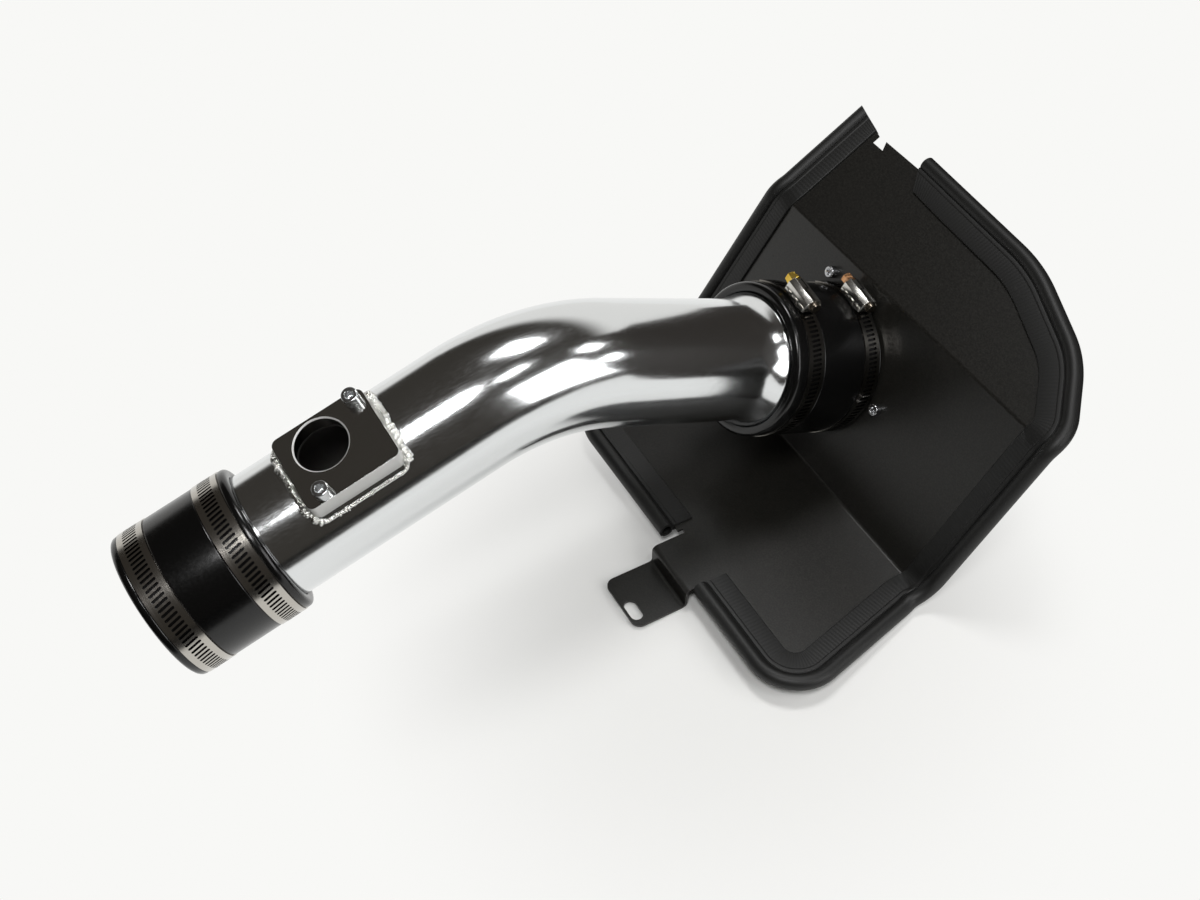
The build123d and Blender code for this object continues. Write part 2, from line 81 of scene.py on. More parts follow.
# %% Frames of the two runs and of the flange
TAB_DROP, TAB_AHEAD = 8.95, 120.5  # the tab lies this far below and ahead of the rubber at the back
LEAN = atan2(TAB_DROP, TAB_AHEAD)
ONTO_FLOOR = (-21.4347, -28.853, 162.642)
REST = Matrix.Scale(0.001, 4) @ Matrix.Translation(ONTO_FLOOR) @ Matrix.Rotation(-LEAN, 4, "X")
RISE, DROP = radians(17.4), radians(23.7)
THROTTLE_MOUTH = 192.7  # from the crossing of the axes
FLANGE_AT = 86.2  # from the throttle mouth
FLANGE_TURN = -78  # about the tube
throttle_dir = Vector((0, cos(RISE), sin(RISE)))
filter_dir = Vector((0, cos(DROP), -sin(DROP)))


def moved(frame, spot, degrees, axis):
    """A frame at a spot of another one, turned about one of its axes."""
    return frame @ Matrix.Translation(spot) @ Matrix.Rotation(radians(degrees), 4, axis)


def run_frame(origin, along):
    """Local millimetres to scene metres, with local Z along a run and local X along the folds."""
    across = Vector((1, 0, 0))
    turn = Matrix((across, along.cross(across), along)).transposed().to_4x4()
    return REST @ Matrix.Translation(origin) @ turn


throttle_run = run_frame(throttle_dir * -THROTTLE_MOUTH, throttle_dir)
filter_run = run_frame(Vector(), filter_dir)
flange_place = moved(throttle_run, (0, 0, FLANGE_AT), FLANGE_TURN, "Z")
print("pipe mouth at", [round(v, 3) for v in throttle_run.translation])

# %% [markdown]
# ## Camera
#
# The camera stands above the tube and looks down along it. Its bearing and height were found by laying
# the known edges of the shield over the picture until they agreed, and a 42 mm lens gave the same
# narrowing towards the far corner. The bearing is given in the shield's own frame and leans with it.

# %% Camera
CAMERA_AT = Vector((471.1, -224.0, 506.8))
BEARING, LOOK_DOWN = radians(60.8), radians(47.7)


def linked(name, data):
    """A new object that shows some data in the scene."""
    thing = bpy.data.objects.new(name, data)
    bpy.context.scene.collection.objects.link(thing)
    return thing


right = Vector((cos(BEARING), sin(BEARING), 0))
level = Vector((sin(BEARING), -cos(BEARING), 0))
back = level * cos(LOOK_DOWN) + Vector((0, 0, sin(LOOK_DOWN)))
axes = Matrix.Rotation(-LEAN, 3, "X") @ Matrix((right, back.cross(right), back)).transposed()
camera = linked("camera", bpy.data.cameras.new("camera"))
camera.data.lens = 42.0
camera.data.sensor_width = 36.0
camera.matrix_world = Matrix.Translation(REST @ CAMERA_AT) @ axes.to_4x4()
bpy.context.scene.camera = camera
bpy.context.scene.view_settings.view_transform = "Standard"
print("camera at", [round(v, 3) for v in camera.matrix_world.translation])

# %% [markdown]
# ## One way to add nodes, one way to write colours
#
# Every material and every Geometry Nodes tree below is built with the same small function: it adds a
# node by the short name of its kind, applies its settings, and fills its inputs with a number, a link,
# or another node. Colours are written as the sRGB hex codes that a paint chart or picture editor shows,
# and turned to linear light once. Two habits of real surfaces come back in many finishes, a polish that
# wanders and a fine relief, so each has a function. Pattern sizes are in millimetres.

# %% Node and colour helpers
RGBA = {"data_type": "RGBA"}  # a mix of two colours: i0 is the share of the second, i6 and i7 the colours
TIMES = {"operation": "MULTIPLY"}
FAMILIES = ("GeometryNode", "ShaderNode", "FunctionNode", "Node")


def linear(code):
    """sRGB hex code to linear red, green, blue, alpha."""
    parts = [int(code[i:i + 2], 16) / 255 for i in (1, 3, 5)]
    return [c / 12.92 if c <= 0.04045 else ((c + 0.055) / 1.055) ** 2.4 for c in parts] + [1.0]


def fill(tree, node, **inputs):
    """Fill inputs by name, or by number as i0, i1 and so on, with a value, a socket, a colour code, or a
    node, which gives its first output in use."""
    for key, value in inputs.items():
        numbered = key[0] == "i" and key[1:].isdigit()
        socket = node.inputs[int(key[1:]) if numbered else key.replace("_", " ")]
        if isinstance(value, bpy.types.Node):
            value = next(output for output in value.outputs if output.enabled)
        if isinstance(value, bpy.types.NodeSocket):
            tree.links.new(value, socket)
        else:
            coded = isinstance(value, str) and value.startswith("#")
            socket.default_value = linear(value) if coded else value
    return node


def add(tree, kind, settings=None, **inputs):
    """Add a node by the short name of its kind, apply its settings and fill its inputs."""
    node = tree.nodes.new(next(family + kind for family in FAMILIES if hasattr(bpy.types, family + kind)))
    for key, value in (settings or {}).items():
        setattr(node, key, value)
    return fill(tree, node, **inputs)


def per_mm(millimetres):
    """Texture scale at which one feature is this many millimetres wide."""
    return 1000.0 / millimetres


# %% Finish helpers
def new_finish(name, colour, metallic, roughness, *marks):
    """A material, and to build on: its tree, shader, object coordinates and what is stored on the faces."""
    material = bpy.data.materials.new(name)
    material.use_nodes = True
    tree = material.node_tree
    shader = tree.nodes["Principled BSDF"]
    fill(tree, shader, Base_Color=colour, Metallic=metallic, Roughness=roughness)
    place = add(tree, "TexCoord").outputs["Object"]
    stored = [add(tree, "Attribute", {"attribute_name": label}).outputs["Fac"] for label in marks]
    return material, tree, shader, place, *stored


def uneven(tree, shader, place, size, low, high, **noise):
    """Let the roughness wander from low to high over grains of a size, and give back the grains."""
    grains = add(tree, "TexNoise", Vector=place, Scale=per_mm(size), **noise)
    fill(tree, shader, Roughness=add(tree, "MapRange", Value=grains, To_Min=low, To_Max=high))
    return grains


def emboss(tree, shader, place, size, strength, depth, **noise):
    """Raise grains of a size and depth from the surface, and give back the bump."""
    grains = add(tree, "TexNoise", Vector=place, Scale=per_mm(size), **noise)
    bump = add(tree, "Bump", Strength=strength, Distance=depth / 1000, Height=grains)
    fill(tree, shader, Normal=bump)
    return bump


# %% [markdown]
# ## Mirror-polished aluminium
#
# The tube is bent aluminium, ground and then buffed on cloth wheels. Buffing leaves a mirror that fine
# hairlines make a little hazy, so that every edge in its picture of the room is soft. The shader is a
# metal with low roughness that varies along the hairlines, and the faintest slow ripple in its bump.
# The bore was never polished: it is dull grey, and a value stored on its faces says so.

# %% Tube finish
polished_tube, tree, shader, place, inside = new_finish("buffed aluminium", "#E3E5E6", 1.0, 0.1, "inside")
hairline_map = add(tree, "Mapping", Vector=place, Rotation=(0.3, 0.1, 0.4), Scale=(1.0, 0.08, 1.0))
hairline = add(tree, "TexNoise", Vector=hairline_map, Scale=per_mm(0.8), Detail=2.0)
haze = add(tree, "MapRange", Value=hairline, From_Min=0.35, From_Max=0.7, To_Min=0.12, To_Max=0.17)
dull = add(tree, "Mix", i0=inside, i2=haze, i3=0.4)
bore = add(tree, "Mix", RGBA, i0=inside, i6="#E3E5E6", i7="#9A9896")
fill(tree, shader, Base_Color=bore, Roughness=dull)
emboss(tree, shader, place, 35, 0.004, 1.0, Detail=0.0)
print(polished_tube.name)

# %% [markdown]
# ## Machined flange and weld
#
# The sensor flange is cut from bar and polished with the tube, so its face is a dark mirror with fine
# cutter marks. Its sides and the rim of its port were only sawn and turned, so they are satin and look
# white: a value stored on their faces makes them rough and lowers the metal share, because fine tooth
# marks scatter light much as chalk does. The weld is a row of frozen puddles: bright, uneven and grainy.

# %% Flange and weld finishes
machined_flange, tree, shader, place, rim = new_finish("polished aluminium bar", "#D6D6D4", 1.0, 0.12, "rim")
cut_map = add(tree, "Mapping", Vector=place, Scale=(1.0, 0.05, 1.0))
cuts = add(tree, "TexNoise", Vector=cut_map, Scale=per_mm(0.8), Detail=3.0)
cut_haze = add(tree, "MapRange", Value=cuts, To_Min=0.08, To_Max=0.15)
sawn_haze = add(tree, "Mix", i0=rim, i2=cut_haze, i3=0.55)
metal_share = add(tree, "MapRange", Value=rim, To_Min=1.0, To_Max=0.25)
fill(tree, shader, Roughness=sawn_haze, Metallic=metal_share)
emboss(tree, shader, place, 2.2, 0.03, 0.4, Detail=5.0)

weld_bead, tree, shader, place = new_finish("aluminium weld bead", "#E6E6E2", 1.0, 0.24)
grains = uneven(tree, shader, place, 2.4, 0.06, 0.3, Detail=4.0, Roughness=0.6)
fill(tree, shader, Normal=add(tree, "Bump", Strength=0.9, Distance=0.0014, Height=grains))
print(machined_flange.name, "and", weld_bead.name)

# %% [markdown]
# ## Silicone, rubber, nylon
#
# The hoses are moulded silicone, glossy black and faintly dusty. The trim is extruded rubber with a
# satin skin, a little chalky where it has been rubbed, and the wire clip inside its leg shows through
# as faint ribs. The filter adapter is moulded nylon. All three are black plastics to the shader; what
# tells them apart is the gloss and the size of the grain.

# %% Black moulded finishes
RIB_PITCH = 2.3
silicone, tree, shader, place = new_finish("moulded black silicone", "#080808", 0.0, 0.2)
dust = add(tree, "TexNoise", Vector=place, Scale=per_mm(1.6), Detail=6.0, Roughness=0.65)
dusty = add(tree, "MapRange", Value=dust, From_Min=0.3, From_Max=0.8, To_Min=0.16, To_Max=0.27)
fill(tree, shader, Roughness=dusty, Specular_IOR_Level=0.45)
emboss(tree, shader, place, 7, 0.05, 0.6, Detail=2.0)

trim_rubber, tree, shader, place, along, on_leg = new_finish(
    "extruded black rubber", "#121212", 0.0, 0.5, "along", "ribbed")
rubbed = add(tree, "TexNoise", Vector=place, Scale=per_mm(11), Detail=8.0, Roughness=0.72)
chalk = add(tree, "MapRange", Value=rubbed, From_Min=0.62, From_Max=0.8)
worn = add(tree, "Mix", RGBA, i0=chalk, i6="#121211", i7="#2B2A28")
satin = emboss(tree, shader, place, 0.9, 0.05, 0.2, Detail=3.0)
turn = add(tree, "Math", TIMES, i0=along, i1=2 * pi / RIB_PITCH)
wave = add(tree, "Math", {"operation": "SINE"}, i0=turn)
ribs = add(tree, "Math", TIMES, i0=wave, i1=on_leg)
rib_bump = add(tree, "Bump", Strength=0.11, Distance=0.0002, Height=ribs, Normal=satin)
fill(tree, shader, Base_Color=worn, Specular_IOR_Level=0.45, Normal=rib_bump)

adapter_nylon, tree, shader, place = new_finish("moulded black nylon", "#131313", 0.0, 0.45)
emboss(tree, shader, place, 0.8, 0.15, 0.2, Detail=3.0)
print(silicone.name, trim_rubber.name, adapter_nylon.name)

# %% [markdown]
# ## Black powder coat
#
# The shield is sheet aluminium with a baked powder coat: a satin black with a fine orange peel. Real
# peel is about a third of a millimetre and would vanish in the picture, so it is drawn three times as
# coarse, with paler flecks on its crests. A slow change in tone keeps the large panels from looking
# like one flat fill.

# %% Shield finish
black_coat, tree, shader, place = new_finish("black powder coat", "#141413", 0.0, 0.35)
cloud = add(tree, "TexNoise", Vector=place, Scale=per_mm(60), Detail=3.0)
tone = add(tree, "Mix", RGBA, i0=cloud, i6="#121110", i7="#171613")
peel = uneven(tree, shader, place, 1.0, 0.28, 0.38, Detail=3.0, Roughness=0.6)
fleck = add(tree, "MapRange", Value=peel, From_Min=0.4, From_Max=0.66)
coat_colour = add(tree, "Mix", RGBA, i0=fleck, i6=tone, i7="#22211E")
peel_bump = add(tree, "Bump", Strength=0.16, Distance=0.0002, Height=peel)
fill(tree, shader, Base_Color=coat_colour, Specular_IOR_Level=0.45, Normal=peel_bump)
print(black_coat.name)

# %% [markdown]
# ## Clamp metals and screws
#
# A worm-drive clamp is stainless strip, rolled and lightly brushed along its length, with a pressed
# housing and a hex-headed screw plated in yellow zinc. The brushing follows the strip round the hose,
# so the band reads its own stored strip coordinate instead of object coordinates. The walls of the
# punched slots are marked too, and painted near black as painted shade inside the slots. The two
# clamps by the shield are painted darker by a second value stored on their faces, as painted shade.

# %% Band finish
band_steel, tree, shader, place, shaded_slot_wall, shield_shade = new_finish(
    "brushed stainless strip", "#BDB9B2", 1.0, 0.2, "slot", "shield_shade")
strip = add(tree, "Attribute", {"attribute_name": "strip"}).outputs["Vector"]
brush_map = add(tree, "Mapping", Vector=strip, Scale=(0.03, 2.2, 1.0))
brush = add(tree, "TexNoise", Vector=brush_map, Scale=1.0, Detail=3.0)
brushed = add(tree, "MapRange", Value=brush, To_Min=0.14, To_Max=0.24)
# painted shade: the slot walls are mixed to near black
painted_slot_shade = add(tree, "Mix", RGBA, i0=shaded_slot_wall, i6="#BDB9B2", i7="#151412")
# painted shade: the two clamps by the shield are mixed darker, apart from their slot walls
shade_share = add(tree, "Math", {"operation": "SUBTRACT", "use_clamp": True}, i0=shield_shade, i1=shaded_slot_wall)
painted_band_shade = add(tree, "Mix", RGBA, i0=shade_share, i6=painted_slot_shade, i7="#7E7B76")
fill(tree, shader, Base_Color=painted_band_shade, Roughness=brushed)
print(band_steel.name)

# %% Housing and screw finishes
housing_steel, tree, shader, place, seam = new_finish("pressed stainless steel", "#D5D3CE", 1.0, 0.22, "seam")
crimped = add(tree, "Mix", RGBA, i0=seam, i6="#D5D3CE", i7="#161513")
fill(tree, shader, Base_Color=crimped)
uneven(tree, shader, place, 1.8, 0.18, 0.28, Detail=4.0)

yellow_zinc, tree, shader, place, head, shaded_head = new_finish(
    "yellow zinc plate", "#C99A3B", 1.0, 0.22, "head", "shaded_head")
iris = add(tree, "TexNoise", Vector=place, Scale=per_mm(3.5), Detail=3.0)
plate = add(tree, "Mix", RGBA, i0=iris, i6="#C9A03A", i7="#EDD06A")
# painted shade: the worm head by the shield is tinted a darker, coppery tone
painted_shade_plate = add(tree, "Mix", RGBA, i0=shaded_head, i6=plate, i7="#C08E64")
fill(tree, shader, Base_Color=add(tree, "Mix", RGBA, i0=head, i6="#8C8377", i7=painted_shade_plate))

plated_screw, tree, shader, place = new_finish("bright zinc plate", "#C9CBCC", 1.0, 0.2)
uneven(tree, shader, place, 2.0, 0.18, 0.28, Detail=2.0)
black_screw, tree, shader, place = new_finish("plated cap screw", "#B4B5B7", 1.0, 0.24)
uneven(tree, shader, place, 1.0, 0.2, 0.3, Detail=4.0)
print(housing_steel.name, yellow_zinc.name, plated_screw.name, black_screw.name)

# %% [markdown]
# ## Meshes
#
# A few small tools make most of the pieces. One rounds the corners of a drawn outline, one turns an
# outline on a lathe, one stores a mark on some faces for a finish to read, and `hand_over` closes a
# piece: it shades round faces smoothly, keeps hard edges sharp, and hides the solids that the piece
# stands for.

# %% Mesh helpers
def plain_mesh(name, points, edges=(), faces=()):
    mesh = bpy.data.meshes.new(name)
    mesh.from_pydata(points, edges, faces)
    return mesh


def chain(count, closed=False):
    """Edges from each point to the next."""
    return [(i, (i + 1) % count) for i in range(count if closed else count - 1)]


@contextmanager
def opened(mesh):
    """A mesh as a shape to edit, which is written back afterwards."""
    shape = bmesh.new()
    shape.from_mesh(mesh)
    yield shape
    shape.to_mesh(mesh)
    shape.free()


def tidy_mesh(mesh, merge=0.000002):
    """Merge doubled points and turn every face outwards."""
    with opened(mesh) as shape:
        bmesh.ops.remove_doubles(shape, verts=shape.verts, dist=merge)
        bmesh.ops.dissolve_degenerate(shape, edges=shape.edges, dist=merge)
        bmesh.ops.recalc_face_normals(shape, faces=shape.faces)


def settle(piece):
    """Keep the result of a piece's modifiers as its own plain mesh."""
    graph = bpy.context.evaluated_depsgraph_get()
    made = bpy.data.meshes.new_from_object(piece.evaluated_get(graph), depsgraph=graph)
    piece.modifiers.clear()
    piece.data = made
    return piece


# %% Outline and lathe
def rounded(corners, steps=4):
    """Closed outline from (x, y, radius) corners."""
    outline = []
    for i, (x, y, radius) in enumerate(corners):
        here = Vector((x, y))
        if radius == 0:
            outline.append(here)
            continue
        before = (Vector(corners[i - 1][:2]) - here).normalized()
        after = (Vector(corners[(i + 1) % len(corners)][:2]) - here).normalized()
        half = before.angle(after) / 2
        centre = here + (before + after).normalized() * radius / sin(half)
        arm = here + before * radius / tan(half) - centre
        sweep = copysign(pi - 2 * half, before.cross(after) * -1)
        outline += [centre + Matrix.Rotation(sweep * k / steps, 2) @ arm for k in range(steps + 1)]
    return outline


def lathe(name, outline, place, sides):
    """Turn a closed (radius, along) outline once round local Z."""
    points, faces, count = [], [], len(outline)
    for i in range(sides):
        turn = 2 * pi * i / sides
        points += [place @ Vector((r * cos(turn), r * sin(turn), z)) for r, z in outline]
        here, there = i * count, (i + 1) % sides * count
        for k in range(count):
            after = (k + 1) % count
            faces.append((here + k, there + k, there + after, here + after))
    return linked(name, plain_mesh(name, points, faces=faces))


# %% Mark and hand over
def mark(piece, name, test):
    """Store 1 on the faces that pass a test, for a finish to read."""
    values = [1.0 if test(face) else 0.0 for face in piece.data.polygons]
    piece.data.attributes.new(name, "FLOAT", "FACE").data.foreach_set("value", values)


def smooth(mesh, sharp):
    """Shade smoothly, except over edges sharper than an angle in degrees."""
    mesh.polygons.foreach_set("use_smooth", [True] * len(mesh.polygons))
    mesh.set_sharp_from_angle(angle=radians(sharp))


def hand_over(piece, finish, slot, *nodes, sharp=35):
    """Shade the piece, give it its finish and let it stand for its solids."""
    mesh = piece.data
    mesh.materials.clear()
    mesh.materials.append(finish)
    smooth(mesh, sharp)
    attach(piece, "root")
    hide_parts(*nodes)
    mesh.calc_loop_triangles()
    print(piece.name, len(mesh.loop_triangles), "triangles")


# %% [markdown]
# ## Trees that grow pieces
#
# Geometry Nodes make what follows a path or repeats. Each tree is built here with named inputs for its
# sizes. `grow` puts the tree on a plain mesh of path points, fills the inputs through their socket
# identifiers before anything is evaluated, and keeps the result as an ordinary mesh in millimetres,
# which is then moved to its place in the scene.

# %% Tree helpers
def new_tree(name, **sizes):
    """A Geometry Nodes tree with a mesh in, a mesh out, and one named input for each size."""
    tree = bpy.data.node_groups.new(name, "GeometryNodeTree")
    tree.interface.new_socket("Geometry", in_out="INPUT", socket_type="NodeSocketGeometry")
    tree.interface.new_socket("Geometry", in_out="OUTPUT", socket_type="NodeSocketGeometry")
    for label, kind in sizes.items():
        tree.interface.new_socket(label.replace("_", " "), in_out="INPUT", socket_type="NodeSocket" + kind)
    return tree, add(tree, "GroupInput").outputs


def close_tree(tree, geometry, entry):
    """Every tree ends the same way: real geometry with its material."""
    real = add(tree, "RealizeInstances", Geometry=geometry)
    coated = add(tree, "SetMaterial", Geometry=real, Material=entry["Material"])
    add(tree, "GroupOutput", Geometry=coated)
    print(tree.name, "tree of", len(tree.nodes), "nodes")
    return tree


def grow(name, points, edges, tree, place, faces=(), rounds=None, **sizes):
    """Run a tree on path points and keep what it makes."""
    mesh = plain_mesh(name, points, edges, faces)
    if rounds:
        mesh.attributes.new("round", "FLOAT", "POINT").data.foreach_set("value", rounds)
    piece = linked(name, mesh)
    modifier = piece.modifiers.new("grow", "NODES")
    modifier.node_group = tree
    for item in tree.interface.items_tree:
        key = item.name.replace(" ", "_")
        if item.in_out == "INPUT" and key in sizes:
            modifier[item.identifier] = sizes[key]
    settle(piece)
    piece.data.transform(place)
    return piece


# %% [markdown]
# ## Bent tube
#
# A mandrel bender makes this tube from one straight length: two straight runs and one smooth bend, and
# the filter end is then stretched over a former into a larger mouth. The tree does the same things in
# the same order: three corner points become a curve, the corner is rounded to the bend radius, a circle
# is swept along it, and the sweep grows over the length of the flare. A wall is added afterwards, and
# the sensor port is cut through it.

# %% Tube tree
tree, entry = new_tree("bent tube", Radius="Float", Bend_Radius="Float", Flare_Start="Float",
                       Flare_End="Float", Flare_Scale="Float", Sides="Int", Material="Material")
path = add(tree, "MeshToCurve", Mesh=entry["Geometry"])
bend = add(tree, "FilletCurve", {"mode": "POLY"}, Curve=path, Count=72, Radius=entry["Bend Radius"])
even = add(tree, "ResampleCurve", {"mode": "LENGTH"}, Curve=bend, Length=2.5)
along = add(tree, "SplineParameter").outputs["Length"]
opening = add(tree, "MapRange", Value=along, From_Min=entry["Flare Start"], From_Max=entry["Flare End"])
opening = add(tree, "Math", {"operation": "POWER"}, i0=opening, i1=2.0)
flare = add(tree, "MapRange", Value=opening, To_Min=1.0, To_Max=entry["Flare Scale"])
ring = add(tree, "CurvePrimitiveCircle", Resolution=entry["Sides"], Radius=entry["Radius"])
swept = add(tree, "CurveToMesh", Curve=even, Profile_Curve=ring, Scale=flare)
tube_tree = close_tree(tree, swept, entry)

# %% Tube
PIPE_R, PIPE_WALL, BEND_R = 35.0, 1.65, 112.0
FLARE_R, FLARE_LENGTH = 39.0, 19.0
FLARE_AT, FILTER_MOUTH = 127.6, 179.6  # from the crossing of the axes
tangent = BEND_R * tan((RISE + DROP) / 2)
flare_start = THROTTLE_MOUTH - 2 * tangent + BEND_R * (RISE + DROP) + FLARE_AT
corners = [throttle_dir * -THROTTLE_MOUTH, Vector(), filter_dir * FILTER_MOUTH]
intake_pipe = grow("bent_tube", corners, chain(3), tube_tree, REST, Radius=PIPE_R, Bend_Radius=BEND_R,
                   Flare_Start=flare_start + 2, Flare_End=flare_start + FLARE_LENGTH,
                   Flare_Scale=FLARE_R / PIPE_R, Sides=128, Material=polished_tube)
tidy_mesh(intake_pipe.data)
wall = intake_pipe.modifiers.new("wall", "SOLIDIFY")
wall.thickness = PIPE_WALL / 1000
wall.offset = -1.0
settle(intake_pipe)

# %% Sensor port and bore
PORT_R = 14.0
PORT_ACROSS, PORT_ALONG = -6.1, -4.6  # from the middle of the flange
port_place = moved(flange_place, (0, PORT_ACROSS, PORT_ALONG), 90, "Y")
port_cut = lathe("port_cut", [(0, 20), (PORT_R, 20), (PORT_R, 60), (0, 60)], port_place, 64)
tidy_mesh(port_cut.data)
cut = intake_pipe.modifiers.new("port", "BOOLEAN")
cut.object = port_cut
cut.operation = "DIFFERENCE"
settle(intake_pipe)
bpy.data.objects.remove(port_cut)
bend_centre = throttle_dir * -tangent - Vector((0, -sin(RISE), cos(RISE))) * BEND_R
to_build = REST.inverted()


def off_axis(spot):
    """From the nearest point of the tube's axis to a building point."""
    if spot.dot(throttle_dir) < -tangent:
        return spot - throttle_dir * spot.dot(throttle_dir)
    if spot.dot(filter_dir) > tangent:
        return spot - filter_dir * spot.dot(filter_dir)
    arm = spot - bend_centre
    return arm - Vector((0, arm.y, arm.z)).normalized() * BEND_R


def faces_in(face):
    return off_axis(to_build @ face.center).dot(to_build.to_3x3() @ face.normal) < 0


mark(intake_pipe, "inside", faces_in)
hand_over(intake_pipe, polished_tube, "polished_tube", "intake_pipe", sharp=30)

# %% [markdown]
# ## Silicone hoses
#
# A hose coupler is a plain sleeve moulded on a rod, with rounded lips. Where a clamp squeezes it the
# sleeve sinks a little, and the rubber beside the band stands up as a soft bead. Those shallow seats
# are drawn into the outline, and the lathe turns it into a sleeve. The filter hose is cut square where
# it meets the shield.

# %% Couplers
HOSE_WALL, HOSE_FIT, BAND_SINK = 6.0, 0.05, 0.5
MOULDED_LIP, CUT_LIP = (2.6, 1.6), (0.4, 0.9)  # outer and inner rounding
THROTTLE_CLAMPS = {"end": -21.3, "pipe": 21.3}  # along the throttle run
FILTER_CLAMPS = {"pipe": 161.6, "spigot": 207.25}  # along the filter run
# hose radius, band width, side of the screw's head
THROTTLE_SIZES = (PIPE_R + HOSE_FIT + HOSE_WALL, 14.2, 1)
FILTER_SIZES = (FLARE_R + HOSE_FIT + HOSE_WALL, 12.0, -1)


def coupler(name, start, end, far_lip, spots, sizes, place, node):
    """Sleeve from start to end along the run, sunk where each band sits."""
    outer, width = sizes[:2]
    bore, sunk = outer - HOSE_WALL, outer - BAND_SINK
    corners = [(bore, start, MOULDED_LIP[1]), (outer - 0.1, start, MOULDED_LIP[0])]
    for at in spots.values():
        low, high = at - width / 2, at + width / 2
        corners += [(outer, low - 0.9, 0.6), (sunk, low - 0.1, 0.3)]
        corners += [(sunk, high + 0.1, 0.3), (outer, high + 0.9, 0.6)]
    corners += [(outer - 0.1, end, far_lip[0]), (bore, end, far_lip[1])]
    sleeve = lathe(name, rounded(corners), place, 160)
    tidy_mesh(sleeve.data)
    hand_over(sleeve, silicone, "silicone", node)


coupler("throttle_hose", -33.0, 33.0, MOULDED_LIP, THROTTLE_CLAMPS, THROTTLE_SIZES, throttle_run,
        "throttle_coupler")
coupler("filter_hose", 146.6, 214.45, CUT_LIP, FILTER_CLAMPS, FILTER_SIZES, filter_run, "filter_coupler")

# %% [markdown]
# ## Slotted clamp bands
#
# The strip of a worm-drive clamp is punched with slanted slots that the worm screw climbs. It goes once
# round the hose, passes through the housing over its own start, and ends in a short tail. The tree
# repeats one punched cell in a straight row, welds the cells together, and rolls the row round the hose.
# Over the last stretch it lifts by one thickness, which makes the overlap and the tail.

# %% Band tree
LAP_RAMP = 9.0
VECTOR = {"data_type": "FLOAT_VECTOR"}
SMOOTH_STEP = {"interpolation_type": "SMOOTHSTEP"}
tree, entry = new_tree("slotted band", Count="Int", Pitch="Float", Radius="Float", Lap_At="Float",
                       Thickness="Float", Side="Float", Material="Material")
step = add(tree, "CombineXYZ", X=entry["Pitch"])
row = add(tree, "MeshLine", Count=entry["Count"], Offset=step)
cells = add(tree, "InstanceOnPoints", Points=row, Instance=entry["Geometry"])
cells = add(tree, "RealizeInstances", Geometry=cells)
cells = add(tree, "MergeByDistance", Geometry=cells, Distance=0.005)
spot = add(tree, "InputPosition")
marked = add(tree, "StoreNamedAttribute", VECTOR, Geometry=cells, Name="strip", Value=spot)
flat = add(tree, "SeparateXYZ", Vector=spot).outputs
lap_from = add(tree, "Math", {"operation": "SUBTRACT"}, i0=entry["Lap At"], i1=LAP_RAMP)
lap = add(tree, "MapRange", SMOOTH_STEP, Value=flat["X"], From_Min=lap_from, From_Max=entry["Lap At"],
          To_Max=entry["Thickness"])
sums = {"length": flat["X"], "width": flat["Y"], "lift": flat["Z"], "lap": lap, "radius": entry["Radius"],
        "side": entry["Side"]}
for result, operation, *terms in (
    ("height", "ADD", "lift", "lap"), ("reach", "ADD", "height", "radius"),
    ("arc", "DIVIDE", "length", "radius"), ("turn", "MULTIPLY", "arc", "side"),
    ("cosine", "COSINE", "turn"), ("sine", "SINE", "turn"),
    ("x", "MULTIPLY", "cosine", "reach"), ("y", "MULTIPLY", "sine", "reach"),
    ("z", "MULTIPLY", "width", "side"),
):
    inputs = {f"i{k}": sums[term] for k, term in enumerate(terms)}
    sums[result] = add(tree, "Math", {"operation": operation}, **inputs)
rolled = add(tree, "CombineXYZ", X=sums["x"], Y=sums["y"], Z=sums["z"])
band = add(tree, "SetPosition", Geometry=marked, Position=rolled)
band_tree = close_tree(tree, band, entry)

# %% One punched cell
BAND_THICKNESS = 0.8
SLOT_SLANT = radians(10)
SLOT_REACH, SLOT_ROUND = 0.23, 0.26  # shares of the strip's width and of the pitch


def punched_cell(pitch, width):
    """One pitch of strip with a slanted obround slot, as a closed shell without its two end faces."""
    half = width / 2
    edge = [Vector(p) for p in ((0, -half), (pitch, -half), (pitch, half), (0, half))]
    slot = []
    for end, start in ((1, 0), (-1, 180)):
        for k in range(6):
            a = radians(start + 36 * k)
            arm = Vector((cos(a), sin(a))) * pitch * SLOT_ROUND + Vector((0, end * width * SLOT_REACH))
            slot.append(Matrix.Rotation(SLOT_SLANT, 2) @ arm + Vector((pitch / 2, 0)))
    count = len(edge + slot)
    points = [(p.x, p.y, h) for h in (BAND_THICKNESS, 0) for p in edge + slot]
    faces = []
    for face in tessellate_polygon([[p.to_3d() for p in loop] for loop in (edge, slot)]):
        faces += [tuple(face), tuple(i + count for i in reversed(face))]
    sides = [(0, 1), (2, 3)] + [(4 + k, 4 + (k + 1) % len(slot)) for k in range(len(slot))]
    faces += [(a, b, b + count, a + count) for a, b in sides]
    return points, faces


# %% Four bands
SLOT_PITCH, GAP = 2.7, 0.03
TAIL_ARC = 10.0 / 41 + radians(24)  # half of the housing, and what shows past it


